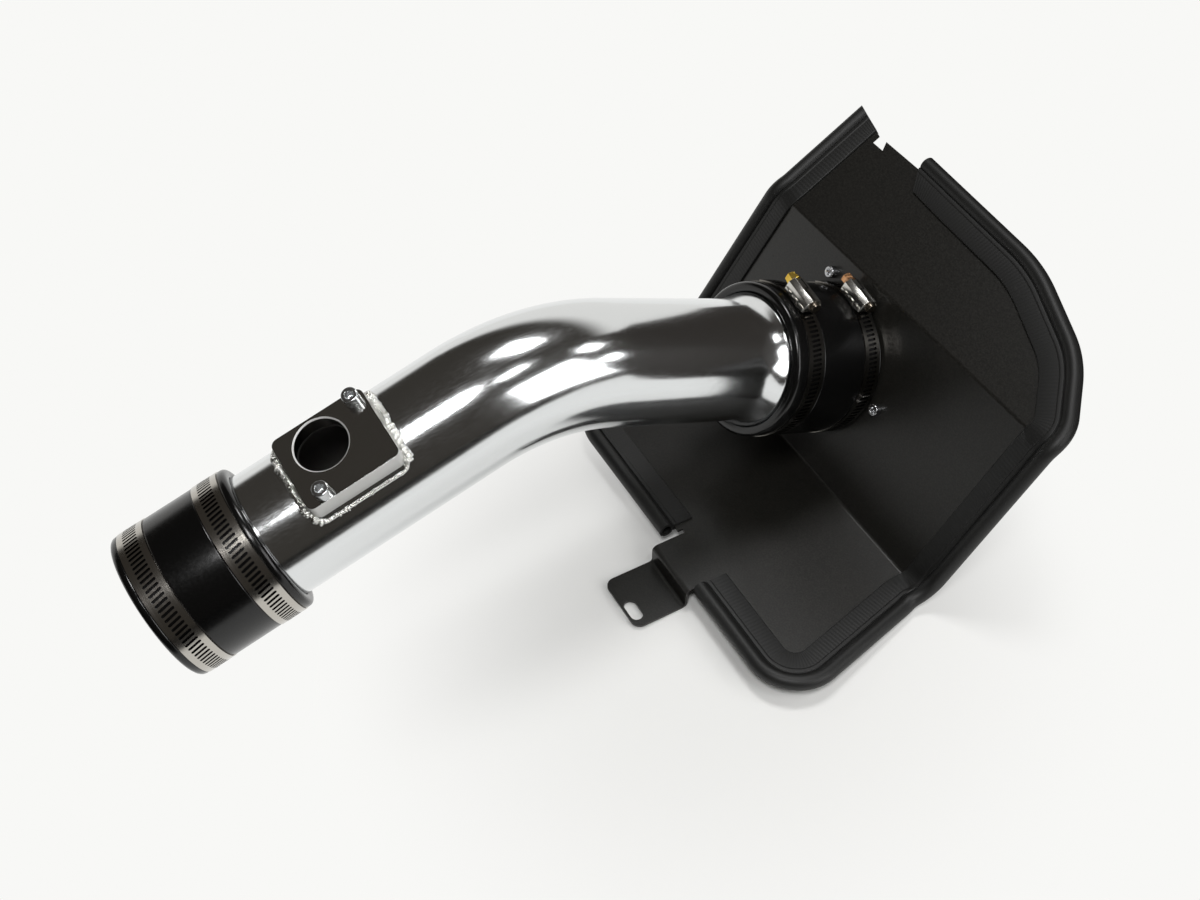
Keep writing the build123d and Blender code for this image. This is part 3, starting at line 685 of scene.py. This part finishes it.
def clamp_band(name, seat_r, width, side, place, node):
    radius = seat_r + GAP
    lap_at = 2 * pi * radius
    count = round(lap_at / SLOT_PITCH)
    pitch = lap_at / count
    points, faces = punched_cell(pitch, width)
    piece = grow(name, points, [], band_tree, place, faces, Count=count + ceil(TAIL_ARC * radius / pitch),
                 Pitch=pitch, Radius=radius, Lap_At=lap_at, Thickness=BAND_THICKNESS + GAP, Side=side,
                 Material=band_steel)
    with opened(piece.data) as shape:
        bmesh.ops.holes_fill(shape, edges=[e for e in shape.edges if e.is_boundary], sides=0)
        bmesh.ops.recalc_face_normals(shape, faces=shape.faces)
    to_hose = place.inverted()

    def in_slot(face):
        spot = to_hose @ face.center
        outward = Vector((spot.x, spot.y, 0)).normalized()
        steep = abs(outward.dot((to_hose.to_3x3() @ face.normal).normalized())) < 0.4
        return abs(spot.z) < width / 2 - 0.3 and steep

    # the slot walls are marked for their painted shade
    mark(piece, "slot", in_slot)
    # the clamps by the shield are marked for painted shade
    mark(piece, "shield_shade", lambda face: name.startswith("filter"))
    hand_over(piece, band_steel, "band_steel", node, sharp=50)


# each run, the turn of the housings about it, and its clamps; local X of a clamp is out through the housing
hoses = {"throttle": (throttle_run, 150, THROTTLE_CLAMPS, THROTTLE_SIZES),
         "filter": (filter_run, -83, FILTER_CLAMPS, FILTER_SIZES)}
clamps = {}
for hose, (run, turn, spots, sizes) in hoses.items():
    for end, at in spots.items():
        clamps[f"{hose}_{end}_clamp"] = (moved(run, (0, 0, at), turn, "Z"), *sizes)
for name, (place, hose_r, width, side) in clamps.items():
    clamp_band(name + "_strip", hose_r - BAND_SINK, width, side, place, name + "_band")

# %% [markdown]
# ## Clamp housings
#
# The housing is pressed from sheet: a bevelled cover over the worm, with feet folded along both sides
# and an end plate round the screw. It is drawn as an open channel, end plates and folded feet, and a
# small bevel rounds every pressed edge. The cover is folded from both sides and locks along a stepped
# seam on top. The seam is only a dark hairline, so three thin strips marked for the finish stand for it.

# %% Blocks that a housing is drawn from
def add_box(points, faces, low, high):
    """Add a box between two corners."""
    start = len(points)
    points += [(x, y, z) for x in (low[0], high[0]) for y in (low[1], high[1]) for z in (low[2], high[2])]
    for face in ((0, 1, 3, 2), (4, 6, 7, 5), (0, 4, 5, 1), (2, 3, 7, 6), (0, 2, 6, 4), (1, 5, 7, 3)):
        faces.append(tuple(start + i for i in face))


def add_prism(points, faces, outline, low, high):
    """Add an outline in (x, z) drawn out along y."""
    start, count = len(points), len(outline)
    points += [(x, y, z) for y in (low, high) for x, z in outline]
    front = [start + i for i in range(count)]
    rear = [i + count for i in front]
    faces += [tuple(front), tuple(reversed(rear))]
    faces += [(front[i - 1], front[i], rear[i], rear[i - 1]) for i in range(count)]


def soften(piece, width, limit):
    """Round the edges that are sharper than a limit in degrees."""
    bevel = piece.modifiers.new("edges", "BEVEL")
    bevel.width = width
    bevel.segments = 2
    bevel.angle_limit = radians(limit)
    return settle(piece)


# %% Housings
HALF_LENGTH, HALF_WIDTH, COVER_HEIGHT = 10.0, 5.7, 9.4
COVER_SHEET, COVER_BEVEL = 0.7, 2.6
SEAM_HALF, SEAM_WIDTH = 1.5, 0.6
END_PLATES = ((-9.5, -8.9), (8.9, 9.5))  # along the worm
FEET = ((-9.4, -4.2), (-2.6, 2.6), (4.2, 9.4))


def housing(name, hose_r, place, node):
    foot, top = hose_r + 0.9, hose_r + COVER_HEIGHT
    half, shoulder = HALF_WIDTH, HALF_WIDTH - COVER_BEVEL
    outer = [(foot, half), (top - COVER_BEVEL, half), (top, shoulder)]
    inner = [(foot, half - COVER_SHEET), (top - COVER_BEVEL - 0.3, half - COVER_SHEET),
             (top - COVER_SHEET, shoulder - 0.3)]
    hollow = inner + [(x, -z) for x, z in reversed(inner)]
    points, faces = [], []
    add_prism(points, faces, [(x, -z) for x, z in outer] + outer[::-1] + hollow, -HALF_LENGTH, HALF_LENGTH)
    plate = [(x + 0.05 if x == foot else x, z * 0.99) for x, z in hollow]
    for low, high in END_PLATES:
        add_prism(points, faces, plate, low, high)
    for low, high in FEET:
        for near, far in ((-half - 0.55, 0.1 - half), (half - 0.1, half + 0.55)):
            add_box(points, faces, (hose_r + 0.95, low, near), (hose_r + 3.4, high, far))
    piece = linked(name, plain_mesh(name, [place @ Vector(p) for p in points], faces=faces))
    tidy_mesh(piece.data)
    soften(piece, 0.00022, 30)
    cover = len(piece.data.polygons)
    points, faces = [], []
    inner_edge = SEAM_HALF - SEAM_WIDTH
    for low, high, left, right in ((-9.0, -SEAM_HALF, inner_edge, SEAM_HALF),
                                   (-SEAM_HALF, -inner_edge, -SEAM_HALF, SEAM_HALF),
                                   (-inner_edge, 9.0, -SEAM_HALF, -inner_edge)):
        add_box(points, faces, (top - 0.2, low, left), (top + 0.05, high, right))
    strips = plain_mesh("strips", [place @ Vector(p) for p in points], faces=faces)
    with opened(piece.data) as shape:
        shape.from_mesh(strips)
    bpy.data.meshes.remove(strips)
    mark(piece, "seam", lambda face: face.index >= cover)
    hand_over(piece, housing_steel, "housing_steel", node, sharp=40)


for name, (place, hose_r, width, side) in clamps.items():
    housing(name + "_cover", hose_r, place, name + "_housing")

# %% [markdown]
# ## Pieces that keep their solid
#
# The flange, the worm screws and the folded sheet already have the right shape as solids, but a solid
# has knife edges and real metal does not. `dress` copies the mesh, merges its loose triangles, joins
# the flat ones, and rounds the edges by a fraction of a millimetre so that they catch the light. Only
# the hex head of a worm screw keeps its yellow plating; the shank is marked as plain steel. The head
# next to the shield is painted a darker, coppery tone, as painted shade.

# %% Dress a solid
def even_shading(piece):
    """Let the large faces rule the shading, so that flats stay flat beside their rounded edges."""
    smooth(piece.data, 35)
    weigh = piece.modifiers.new("even shading", "WEIGHTED_NORMAL")
    weigh.keep_sharp = True
    return settle(piece)


def dress(node, name, edge):
    piece = linked(name, frame["nodes"][node].data.copy())
    with opened(piece.data) as shape:
        bmesh.ops.remove_doubles(shape, verts=shape.verts, dist=0.000004)
        bmesh.ops.dissolve_limit(shape, angle_limit=radians(1), verts=shape.verts, edges=shape.edges)
    return even_shading(soften(piece, edge, 38))


# %% Flange
FLANGE_HEIGHT = 38.8
flange_block = dress("sensor_flange", "sensor_flange_block", 0.0004)
to_port = port_place.inverted()


def on_rim(face):
    spot = to_port @ face.center
    from_axis = hypot(spot.x, spot.y)
    turned = spot.z > FLANGE_HEIGHT - 1.2 and PORT_R - 0.1 < from_axis < PORT_R + 0.9
    upright = abs((to_port.to_3x3() @ face.normal).normalized().z) < 0.5
    return turned or from_axis > PORT_R + 1 and upright


mark(flange_block, "rim", on_rim)
hand_over(flange_block, machined_flange, "machined_flange", "sensor_flange")

# %% Worm screws and folded sheet
WORM_LIFT = 5.75  # axis of the worm above the hose
HEX_SHARE = 0.8  # width of the head, as a share of the solid's
for name, (place, hose_r, width, side) in clamps.items():
    worm = dress(name + "_screw", name + "_worm", 0.0003)
    to_clamp = place.inverted()
    worm_at = hose_r + WORM_LIFT
    for vertex in worm.data.vertices:
        spot = to_clamp @ vertex.co
        if spot.y * side > HALF_LENGTH + 0.2:
            vertex.co = place @ Vector((worm_at + (spot.x - worm_at) * HEX_SHARE, spot.y, spot.z * HEX_SHARE))
    mark(worm, "head", lambda face: (to_clamp @ face.center).y * side > HALF_LENGTH - 0.1)
    # the head by the shield is marked for its painted shade
    mark(worm, "shaded_head", lambda face: name == "filter_spigot_clamp")
    hand_over(worm, yellow_zinc, "yellow_zinc", name + "_screw")
folded_shield = dress("heat_shield", "folded_shield", 0.00025)
hand_over(folded_shield, black_coat, "black_coat", "heat_shield")

# %% [markdown]
# ## Weld round the flange
#
# A TIG weld is laid down drop by drop, and each drop freezes partly over the last one. The tree puts
# overlapping squashed beads of uneven size along the line where the flange meets the tube, over a thin
# continuous fillet so that no gap shows between them. Along the two sides that run with the tube the
# bead is smaller and sits lower, and across the ends it is a thick, lumpy rope.

# %% Weld tree
tree, entry = new_tree("weld", Spacing="Float", Bead="Float", Fillet="Float", Seed="Int", Material="Material")
seam = add(tree, "MeshToCurve", Mesh=entry["Geometry"])
drops = add(tree, "CurveToPoints", {"mode": "LENGTH"}, Curve=seam, Length=entry["Spacing"])
size = add(tree, "RandomValue", VECTOR, i0=(0.65, 0.65, 0.5), i1=(1.2, 1.2, 0.95), Seed=entry["Seed"])
share = add(tree, "InputNamedAttribute", {"data_type": "FLOAT"}, Name="round")
size = add(tree, "VectorMath", {"operation": "SCALE"}, i0=size, Scale=share)
drop = add(tree, "MeshIcoSphere", Radius=entry["Bead"], Subdivisions=3)
jitter = add(tree, "RandomValue", VECTOR, i0=(-0.5, -0.5, -0.5), i1=(0.5, 0.5, 0.5), Seed=entry["Seed"])
shaken = add(tree, "SetPosition", Geometry=drops, Offset=jitter)
beads = add(tree, "InstanceOnPoints", Points=shaken, Instance=drop, Rotation=drops.outputs["Rotation"],
            Scale=size)
bar = add(tree, "CurvePrimitiveCircle", Resolution=12, Radius=entry["Fillet"])
fillet = add(tree, "CurveToMesh", Curve=seam, Profile_Curve=bar)
joined = add(tree, "JoinGeometry", Geometry=beads)
fill(tree, joined, Geometry=fillet)
weld_tree = close_tree(tree, joined, entry)

# %% Weld
WELD_HALF_WIDTH, WELD_HALF_LENGTH, WELD_CORNER = 23.1, 27.0, 5.0
ON_PIPE = PIPE_R + 0.2
SIDE_FROM, SIDE_EASE = 26.5, 4.0  # where the sides begin, and how softly
SIDE_SPREAD, END_SPREAD = 0.06, 0.035
SIDE_BEAD, END_BEAD = 0.55, 1.4
seam_line = rounded([(y * WELD_HALF_WIDTH, z * WELD_HALF_LENGTH, WELD_CORNER)
                     for y, z in ((-1, -1), (1, -1), (1, 1), (-1, 1))], 8)
seam_points, bead_sizes = [], []
for start, end in zip(seam_line, seam_line[1:] + seam_line[:1]):
    pieces = max(1, round((end - start).length / 1.5))
    for k in range(pieces):
        y, z = start.lerp(end, k / pieces)
        along_side = min(1.0, max(0.0, (SIDE_FROM - abs(z)) / SIDE_EASE))
        y *= 1 + SIDE_SPREAD * along_side
        z *= 1 + END_SPREAD * (1 - along_side)
        seam_points.append((sqrt(ON_PIPE ** 2 - y * y), y, z))
        bead_sizes.append(END_BEAD + (SIDE_BEAD - END_BEAD) * along_side)
flange_weld = grow("flange_weld_bead", seam_points, chain(len(seam_points), True), weld_tree, flange_place,
                   rounds=bead_sizes, Spacing=1.7, Bead=1.9, Fillet=0.9, Seed=7, Material=weld_bead)
hand_over(flange_weld, weld_bead, "weld_bead", "flange_weld", sharp=80)

# %% [markdown]
# ## Socket-head screws
#
# Two screws wait in the flange for the sensor, and three hold the filter adapter to the shield. Each
# set is one screw turned on the lathe with a hexagon driven into its head, repeated by a tree on the
# places where the holes are.

# %% Screw tree
tree, entry = new_tree("screw set", Screw="Object", Material="Material")
one_screw = add(tree, "ObjectInfo", Object=entry["Screw"]).outputs["Geometry"]
screws = add(tree, "InstanceOnPoints", Points=entry["Geometry"], Instance=one_screw)
screw_tree = close_tree(tree, screws, entry)

# %% One screw
SIXTH = radians(60)


def cap_screw(head_r, head_height, shank_r, shank, flats, depth):
    """Screw standing on local Z = 0 with its shank below."""
    hexagon = flats / sqrt(3)
    outline = rounded([(0, -shank, 0), (shank_r, -shank, 0), (shank_r, 0, 0), (head_r, 0, 0.2),
                       (head_r, head_height, 0.7), (hexagon + 0.2, head_height, 0),
                       (hexagon, head_height - 0.25, 0), (hexagon, head_height - depth, 0),
                       (0, head_height - depth - 0.4, 0)])
    screw = lathe("screw", outline, Matrix.Identity(4), 48)
    for vertex in screw.data.vertices:
        x, y, z = vertex.co
        if z > head_height - depth - 0.1 and 0.1 < hypot(x, y) < hexagon + 0.1:
            turn = (atan2(y, x) + 10 * SIXTH) % SIXTH - SIXTH / 2
            flat = cos(SIXTH / 2) / cos(turn)
            vertex.co = (x * flat, y * flat, z)
    tidy_mesh(screw.data, 0.0001)
    return screw


# %% Two sets of screws
ADAPTER_SCREW_R = 51.5  # radius of the circle of screws
SHIELD_AT, SHEET = 216.0, 1.5  # middle of the sheet along the filter run, and its thickness


def screw_set(name, screw, spots, place, finish, slot, node):
    piece = grow(name, spots, [], screw_tree, place, Screw=screw, Material=finish)
    tidy_mesh(piece.data)
    bpy.data.objects.remove(screw)
    even_shading(piece)
    hand_over(piece, finish, slot, node, sharp=28)


on_flange = moved(flange_place, (FLANGE_HEIGHT, 0, 0), 90, "Y")
screw_set("sensor_screw_pair", cap_screw(4.3, 6.8, 2.4, 5.9, 4.0, 3.2),
          [(-19.9, -17.2, 0), (15.5, 17.8, 0)], on_flange, plated_screw, "plated_screw", "sensor_screws")
on_shield = moved(filter_run, (0, 0, SHIELD_AT - SHEET / 2), 180, "X")
thirds = [(ADAPTER_SCREW_R * cos(a), ADAPTER_SCREW_R * sin(a), 0) for a in (0, 2 * SIXTH, 4 * SIXTH)]
screw_set("adapter_screw_set", cap_screw(3.6, 4.2, 1.9, 7.4, 3.0, 2.2), thirds, on_shield, black_screw,
          "black_screw", "adapter_screws")

# %% [markdown]
# ## Filter adapter
#
# Behind the shield a moulded ring joins the hose to the filter: a spigot reaches forward into the hose,
# a flange clamps against the sheet, and a neck with a raised end bead waits for the filter's own clamp.
# It is a turned shape, so the lathe makes it from one outline.

# %% Adapter
NECK_R, NECK_BORE, ADAPTER_FLANGE_R = 39.0, 36.0, 55.5
SPIGOT_TIP, SEAT, FLANGE_BACK, NECK_END = 183.8, 216.8, 222.75, 258.7  # along the filter run
adapter_outline = rounded([
    (NECK_BORE, SPIGOT_TIP, 0.6), (NECK_R, SPIGOT_TIP, 0.9), (NECK_R, SEAT, 0.0),
    (ADAPTER_FLANGE_R, SEAT, 0.4), (ADAPTER_FLANGE_R, FLANGE_BACK, 1.2), (NECK_R, FLANGE_BACK, 1.5),
    (NECK_R - 0.6, NECK_END - 5.7, 0.4), (NECK_R, NECK_END - 3.7, 0.5), (NECK_R, NECK_END, 0.8),
    (NECK_BORE, NECK_END, 0.6),
], 5)
filter_adapter = lathe("filter_adapter_ring", adapter_outline, filter_run, 160)
tidy_mesh(filter_adapter.data)
hand_over(filter_adapter, adapter_nylon, "black_adapter", "filter_adapter")

# %% [markdown]
# ## Rubber edge trim
#
# The trim is an extruded rubber channel with a hollow bulb, pushed over the cut edge of the sheet so
# that the shield seals against the car. A real one is pressed on flat and bends with the sheet, and it
# is made in that order here. The tree sweeps the section along the unfolded edge, with each corner
# rounded by its own radius, and the flat sweep is then folded with the two bends of the shield. The
# bulb is too stiff for the sharp lower bend and crosses it in a wider curve than the sheet. Both upper
# ends were cut off at a slant, the left one with the corner of the sheet. A small drilled hole in the
# wall is painted into the coat with the same fold, as a near-black dot of painted shade.

# %% How the flat sheet folds
TOP_FOLD, LOW_FOLD = 58.0, -63.8  # heights on the wall, from the axis of the filter run
TOP_BEND, LOW_BEND = 20.0, 8.0
wall_centre = filter_dir * SHIELD_AT
foot_angle, wall_angle, top_angle = 0.0, pi / 2 - DROP, pi / 2 - DROP - radians(35)


def heading(angle):
    return Vector((0, cos(angle), sin(angle)))


def facing(angle):
    return Vector((0, -sin(angle), cos(angle)))


low_corner, top_corner = (wall_centre + heading(wall_angle) * at for at in (LOW_FOLD, TOP_FOLD))
folds = ((LOW_FOLD, foot_angle, wall_angle, low_corner, LOW_BEND),
         (TOP_FOLD, wall_angle, top_angle, top_corner, -TOP_BEND))


def fold(x, s, h, ease=0.0):
    """Point of the folded sheet: x along the folds, s up the unfolded sheet, h off its front face."""
    for at, before, after, corner, bend in folds:
        bend += ease if at == LOW_FOLD else 0.0
        reach = bend * tan((after - before) / 2)
        if abs(s - at) < reach:
            angle = before + (after - before) * (s - at + reach) / (2 * reach)
            spot = corner - heading(before) * reach + (facing(before) - facing(angle)) * bend
            return spot + facing(angle) * h + Vector((x, 0, 0))
    if s > TOP_FOLD:
        angle, corner, at = top_angle, top_corner, TOP_FOLD
    else:
        angle, corner, at = wall_angle if s > LOW_FOLD else foot_angle, low_corner, LOW_FOLD
    return corner + heading(angle) * (s - at) + facing(angle) * h + Vector((x, 0, 0))


print("fold lines at", low_corner, top_corner)

# %% A small drilled hole on the wall, painted as a dark dot of shade
mark_at = REST @ fold(-74.6, 23.3, SHEET / 2)
tree = black_coat.node_tree
place = add(tree, "TexCoord").outputs["Object"]
from_mark = add(tree, "VectorMath", {"operation": "DISTANCE"}, i0=place, i1=mark_at)
hole_shade_edge = add(tree, "MapRange", Value=from_mark, From_Min=0.0006, From_Max=0.0009)
# painted shade: a near-black dot stands for the dark inside of the drilled hole
painted_hole_shade = add(tree, "Mix", RGBA, i0=hole_shade_edge, i6="#030303", i7=coat_colour)
fill(tree, tree.nodes["Principled BSDF"], Base_Color=painted_hole_shade)
print("mark at", [round(v, 3) for v in mark_at])

# %% Trim tree
tree, entry = new_tree("edge trim", Section="Object", Step="Float", Material="Material")
edge_line = add(tree, "MeshToCurve", Mesh=entry["Geometry"])
corner_r = add(tree, "InputNamedAttribute", {"data_type": "FLOAT"}, Name="round")
turned = add(tree, "FilletCurve", {"mode": "POLY"}, Curve=edge_line, Count=20, Radius=corner_r)
stepped = add(tree, "ResampleCurve", {"mode": "LENGTH"}, Curve=turned, Length=entry["Step"])
standing = add(tree, "SetCurveNormal", {"mode": "Z_UP"}, Curve=stepped)
section = add(tree, "ObjectInfo", Object=entry["Section"]).outputs["Geometry"]
section = add(tree, "MeshToCurve", Mesh=section)
along = add(tree, "SplineParameter").outputs["Length"]
measured = add(tree, "StoreNamedAttribute", {"data_type": "FLOAT", "domain": "POINT"},
               Geometry=standing, Name="along", Value=along)
extruded = add(tree, "CurveToMesh", Curve=measured, Profile_Curve=section, Fill_Caps=True)
trim_tree = close_tree(tree, extruded, entry)

# %% Section of the trim
BULB_AT, BULB_R, HOLLOW_R, GROOVE = 5.5, 4.75, 3.1, 1.9
LEG, SLIT_HALF = -12.5, 0.8  # end of the leg, and half of the slit for the sheet
meet = asin(GROOVE / BULB_R)


def round_bulb(radius, start, sweep, steps):
    """Points round the bulb's inside or outside, from a start through a sweep."""
    turns = [start + sweep * k / steps for k in range(steps + 1)]
    return [Vector((BULB_AT + radius * cos(a), radius * sin(a))) for a in turns]


upper = [(BULB_AT - BULB_R * cos(meet), GROOVE, 0), (0.5, 2.45, 0.3), (-1.2, 2.45, 0.4),
         (-1.9, 2.15, 0.3), (LEG, 2.25, 0.6), (LEG, SLIT_HALF, 0.2), (0.0, SLIT_HALF, 0)]
lower = [(x, -y, r) for x, y, r in reversed(upper)]
hollow = [Vector((0.0, 0.02))] + round_bulb(HOLLOW_R, pi, -2 * pi, 24) + [Vector((0.0, -0.02))]
loop = []
for p in rounded(upper + lower, 3):
    loop += [p] + (hollow if abs(p.x) < 1e-6 and p.y > 0.7 else [])
loop += round_bulb(BULB_R, pi + meet, 2 * pi - 2 * meet, 27)[1:-1]
section_mesh = plain_mesh("trim_section", [p.to_3d() for p in loop], chain(len(loop), True))
trim_section = bpy.data.objects.new("trim_section", section_mesh)
print("trim section of", len(loop), "points")

# %% Flat edges that the trims follow
RUN_OUT = 8.0  # an edge of the wall runs straight on this far past a fold
LOW_RIGHT, LOW_LEFT, TOP_RIGHT, TOP_LEFT = 137.6, -110.4, 150.4, -91.9  # edges of the wall at its folds
RIGHT_FOOT, LEFT_FOOT = 103.2, 98.1  # depth of the foot on each side of the tab
BARE_END, BARE_HEIGHT, TIP_HEIGHT = -35.0, 66.0, 73.0  # upper ends of the right and of the left trim
right_slope, left_slope = ((top - low) / (TOP_FOLD - LOW_FOLD)
                           for low, top in ((LOW_RIGHT, TOP_RIGHT), (LOW_LEFT, TOP_LEFT)))
left_edge = TOP_LEFT + RUN_OUT * left_slope


def on_top(x, y):
    return (x, TOP_FOLD + y, 0)


def on_foot(x, y):
    return (x, LOW_FOLD - y, 0)


right_path = [on_foot(75.1, RIGHT_FOOT), on_foot(159.1, RIGHT_FOOT),
              on_foot(LOW_RIGHT - RUN_OUT * right_slope, RUN_OUT), on_top(TOP_RIGHT + 9.5 * right_slope, 9.5),
              on_top(123.3, 39.2), on_top(67.7, 61), on_top(BARE_END, BARE_HEIGHT)]
right_rounds = [0, 20, 20, 18, 60, 100, 0]
left_path = [on_top(left_edge, TIP_HEIGHT), on_top(left_edge, RUN_OUT),
             on_foot(LOW_LEFT - RUN_OUT * left_slope, RUN_OUT), on_foot(-74.0, LEFT_FOOT),
             on_foot(29.5, LEFT_FOOT)]
left_rounds = [0, 20, 20, 26, 0]
print(len(right_path), "and", len(left_path), "corners")

# %% Left and right trims
TIP_LENGTH, TIP_SLANT, END_SLANT = 13.0, 0.25, 0.85
WIDER_BEND = 16.0  # added to the lower bend under the bulb


def tip_cut(x):
    """How much shorter the slant leaves the upper left end."""
    return TIP_SLANT * (x - left_edge + 10)


def edge_trim(name, path, rounds, node):
    piece = grow(name, path, chain(len(path)), trim_tree, Matrix.Identity(4), rounds=rounds,
                 Section=trim_section, Step=1.5, Material=trim_rubber)
    mark(piece, "ribbed", lambda face: abs(face.normal.z) > 0.98 and abs(face.center.z) < 2.4)
    for vertex in piece.data.vertices:
        x, s, h = vertex.co
        if s > TOP_FOLD and BARE_END - 5 < x < 0:
            x += END_SLANT * max(0.0, TOP_FOLD + BARE_HEIGHT - s) * x / BARE_END
        if x < left_edge + 15:
            s -= max(0.0, (s - TOP_FOLD - TIP_HEIGHT + TIP_LENGTH) / TIP_LENGTH) * tip_cut(x)
        outward = x - LOW_RIGHT if x > 0 else LOW_LEFT - x
        vertex.co = REST @ fold(x, s, h, WIDER_BEND * min(1.0, max(0.0, (outward + 3) / 6)))
    with opened(piece.data) as shape:
        bmesh.ops.recalc_face_normals(shape, faces=shape.faces)
    hand_over(piece, trim_rubber, "trim_rubber", node, sharp=40)


for vertex in folded_shield.data.vertices:
    spot = to_build @ vertex.co
    if spot.x < left_edge + 20 and (spot - top_corner).dot(heading(top_angle)) > TIP_HEIGHT - 3:
        vertex.co = REST @ (spot - heading(top_angle) * (tip_cut(spot.x) + 0.4))
edge_trim("right_rubber_trim", right_path, right_rounds, "right_edge_trim")
edge_trim("left_rubber_trim", left_path, left_rounds, "left_edge_trim")
bpy.data.objects.remove(trim_section)

# %% [markdown]
# ## Floor and light
#
# The part lies on a white table against a white wall, in an otherwise dark room. A mirror shows only
# what is round it, so the room matters: the black bands on the tube are the room in front of the table,
# the pale upper side is the wall, and the streaks are lamps. A black card behind the shield gives the
# end of the tube its dark edge, as photographers do with polished metal. The floor keeps the soft shadow
# close to the part. Further out it turns to plain white for the eye, so that the picture fades to white
# without any more light on the part.

# %% Floor
PAPER_WHITE = "#F8F8F6"
TOWARD_ROOM = (0.545, -0.839, 0.0)  # the table ends in this direction
SHADOW_MIDDLE = (0.08, 0.03, 0.0)


def show_plain(tree, share, shader, colour):
    """Show a plain colour in place of a shader, by a share from 0 to 1."""
    plain = add(tree, "Emission", Color=colour, Strength=1.0)
    both = add(tree, "MixShader", i0=share, i1=shader, i2=plain)
    fill(tree, tree.nodes["Material Output"], Surface=both)


paper, tree, shader, place = new_finish("white table", "#F2F2F0", 0.0, 0.9)
toward = add(tree, "VectorMath", {"operation": "DOT_PRODUCT"}, i0=place, i1=TOWARD_ROOM)
edge = add(tree, "MapRange", Value=toward, From_Min=0.38, From_Max=0.43)
sideways = add(tree, "SeparateXYZ", Vector=place).outputs["X"]
front = add(tree, "MapRange", Value=sideways, From_Min=-0.4, From_Max=-0.1)
past_edge = add(tree, "Math", TIMES, i0=edge, i1=front)
ground = add(tree, "Mix", RGBA, i0=past_edge, i6="#F2F2F0", i7="#1C1A17")
fill(tree, shader, Base_Color=ground)
away = add(tree, "VectorMath", {"operation": "DISTANCE"}, i0=place, i1=SHADOW_MIDDLE)
fade = add(tree, "MapRange", SMOOTH_STEP, Value=away, From_Min=0.04, From_Max=0.24)
ray = add(tree, "LightPath").outputs
on_table = add(tree, "Math", {"operation": "SUBTRACT"}, i0=1.0, i1=past_edge)
mirrored = add(tree, "Math", TIMES, i0=ray["Is Glossy Ray"], i1=on_table)
seen = add(tree, "Math", {"operation": "MAXIMUM"}, i0=ray["Is Camera Ray"], i1=mirrored)
share = add(tree, "Math", TIMES, i0=seen, i1=fade)
show_plain(tree, share, shader, PAPER_WHITE)
corners = [(-3, -3, 0), (3, -3, 0), (3, 3, 0), (-3, 3, 0)]
floor = linked("floor", plain_mesh("floor", corners, faces=[(0, 1, 2, 3)]))
floor.data.materials.append(paper)

# %% Surfaces that only mirrors see
def reflected(name, outline, colour, low=2.0, high=3.0):
    """Staged surface for reflections; it fades out between two heights."""
    surface = linked(name, plain_mesh(name, outline, faces=[tuple(range(len(outline)))]))
    paint = bpy.data.materials.new(name)
    paint.use_nodes = True
    tree = paint.node_tree
    place = add(tree, "TexCoord").outputs["Object"]
    height = add(tree, "SeparateXYZ", Vector=place).outputs["Z"]
    lit = add(tree, "MapRange", SMOOTH_STEP, Value=height, From_Min=low, From_Max=high, To_Min=1.0, To_Max=0.0)
    glossy = add(tree, "LightPath").outputs["Is Glossy Ray"]
    share = add(tree, "Math", TIMES, i0=glossy, i1=lit)
    show_plain(tree, share, add(tree, "BsdfTransparent"), colour)
    surface.data.materials.append(paint)


# %% Walls and card
def upright(bearing, left, right, top):
    """Corners of a wall one metre away in the direction of a bearing."""
    out = Vector((cos(radians(bearing)), sin(radians(bearing)), 0))
    along = Vector((-out.y, out.x, 0))
    return [out + along * x + Vector((0, 0, z)) for x, z in ((right, 0), (left, 0), (left, top), (right, top))]


WALL_WHITE, CARD_BLACK = "#F0EFEC", "#35322F"
CARD_BEHIND = 0.29
card = [(-0.215, 0.15), (-0.131, 0.241), (-0.058, 0.307), (-0.02, 0.35), (0.03, 0.46), (0.035, 0.3),
        (0.35, 0.3), (0.35, 0.05), (-0.215, 0.05)]
reflected("white wall", upright(104.4, 4, -0.4, 1.6), WALL_WHITE, 0.75, 1.2)
reflected("side wall", upright(-155, 0.57, -0.6, 0.45), WALL_WHITE, 0.25, 0.45)
reflected("black card", [Vector((x, CARD_BEHIND, z)) for x, z in card], CARD_BLACK)

# %% Lamps
AIM = Vector((-0.02, -0.05, 0.15))
LAMP_DISTANCE = 1.5


def softbox(name, bearing, height, width, tall, watts):
    """Lamp that faces the tube, with its bearing, height and size given in degrees as seen from there."""
    flat, rise = radians(bearing), radians(height)
    out = Vector((cos(rise) * cos(flat), cos(rise) * sin(flat), sin(rise)))
    lamp = bpy.data.lights.new(name, "AREA")
    lamp.shape = "RECTANGLE"
    lamp.size = 2 * LAMP_DISTANCE * tan(radians(width / 2))
    lamp.size_y = 2 * LAMP_DISTANCE * tan(radians(tall / 2))
    lamp.energy = watts
    holder = linked(name, lamp)
    holder.location = AIM + LAMP_DISTANCE * out
    holder.rotation_euler = (-out).to_track_quat("-Z", "Y").to_euler()


softbox("key softbox", -29, 63, 13, 13, 9)
softbox("window", 28, 24, 30, 36, 8)
softbox("back lamp", 125, 68, 17, 12, 8)
softbox("ceiling lamp", 25, 63.5, 11, 5, 1.5)
softbox("far lamp", 65, 40, 9, 7, 1)
softbox("low lamp", 53, 22.5, 9, 6, 0.8)
print(len(bpy.data.lights), "lamps")

# %% Room
room = bpy.data.worlds.new("dark studio")
room.use_nodes = True
tree = room.node_tree
to_eye = add(tree, "LightPath").outputs["Is Camera Ray"]
walls = add(tree, "Mix", RGBA, i0=to_eye, i6="#3A3733", i7=PAPER_WHITE)
fill(tree, tree.nodes["Background"], Color=walls)
bpy.context.scene.world = room
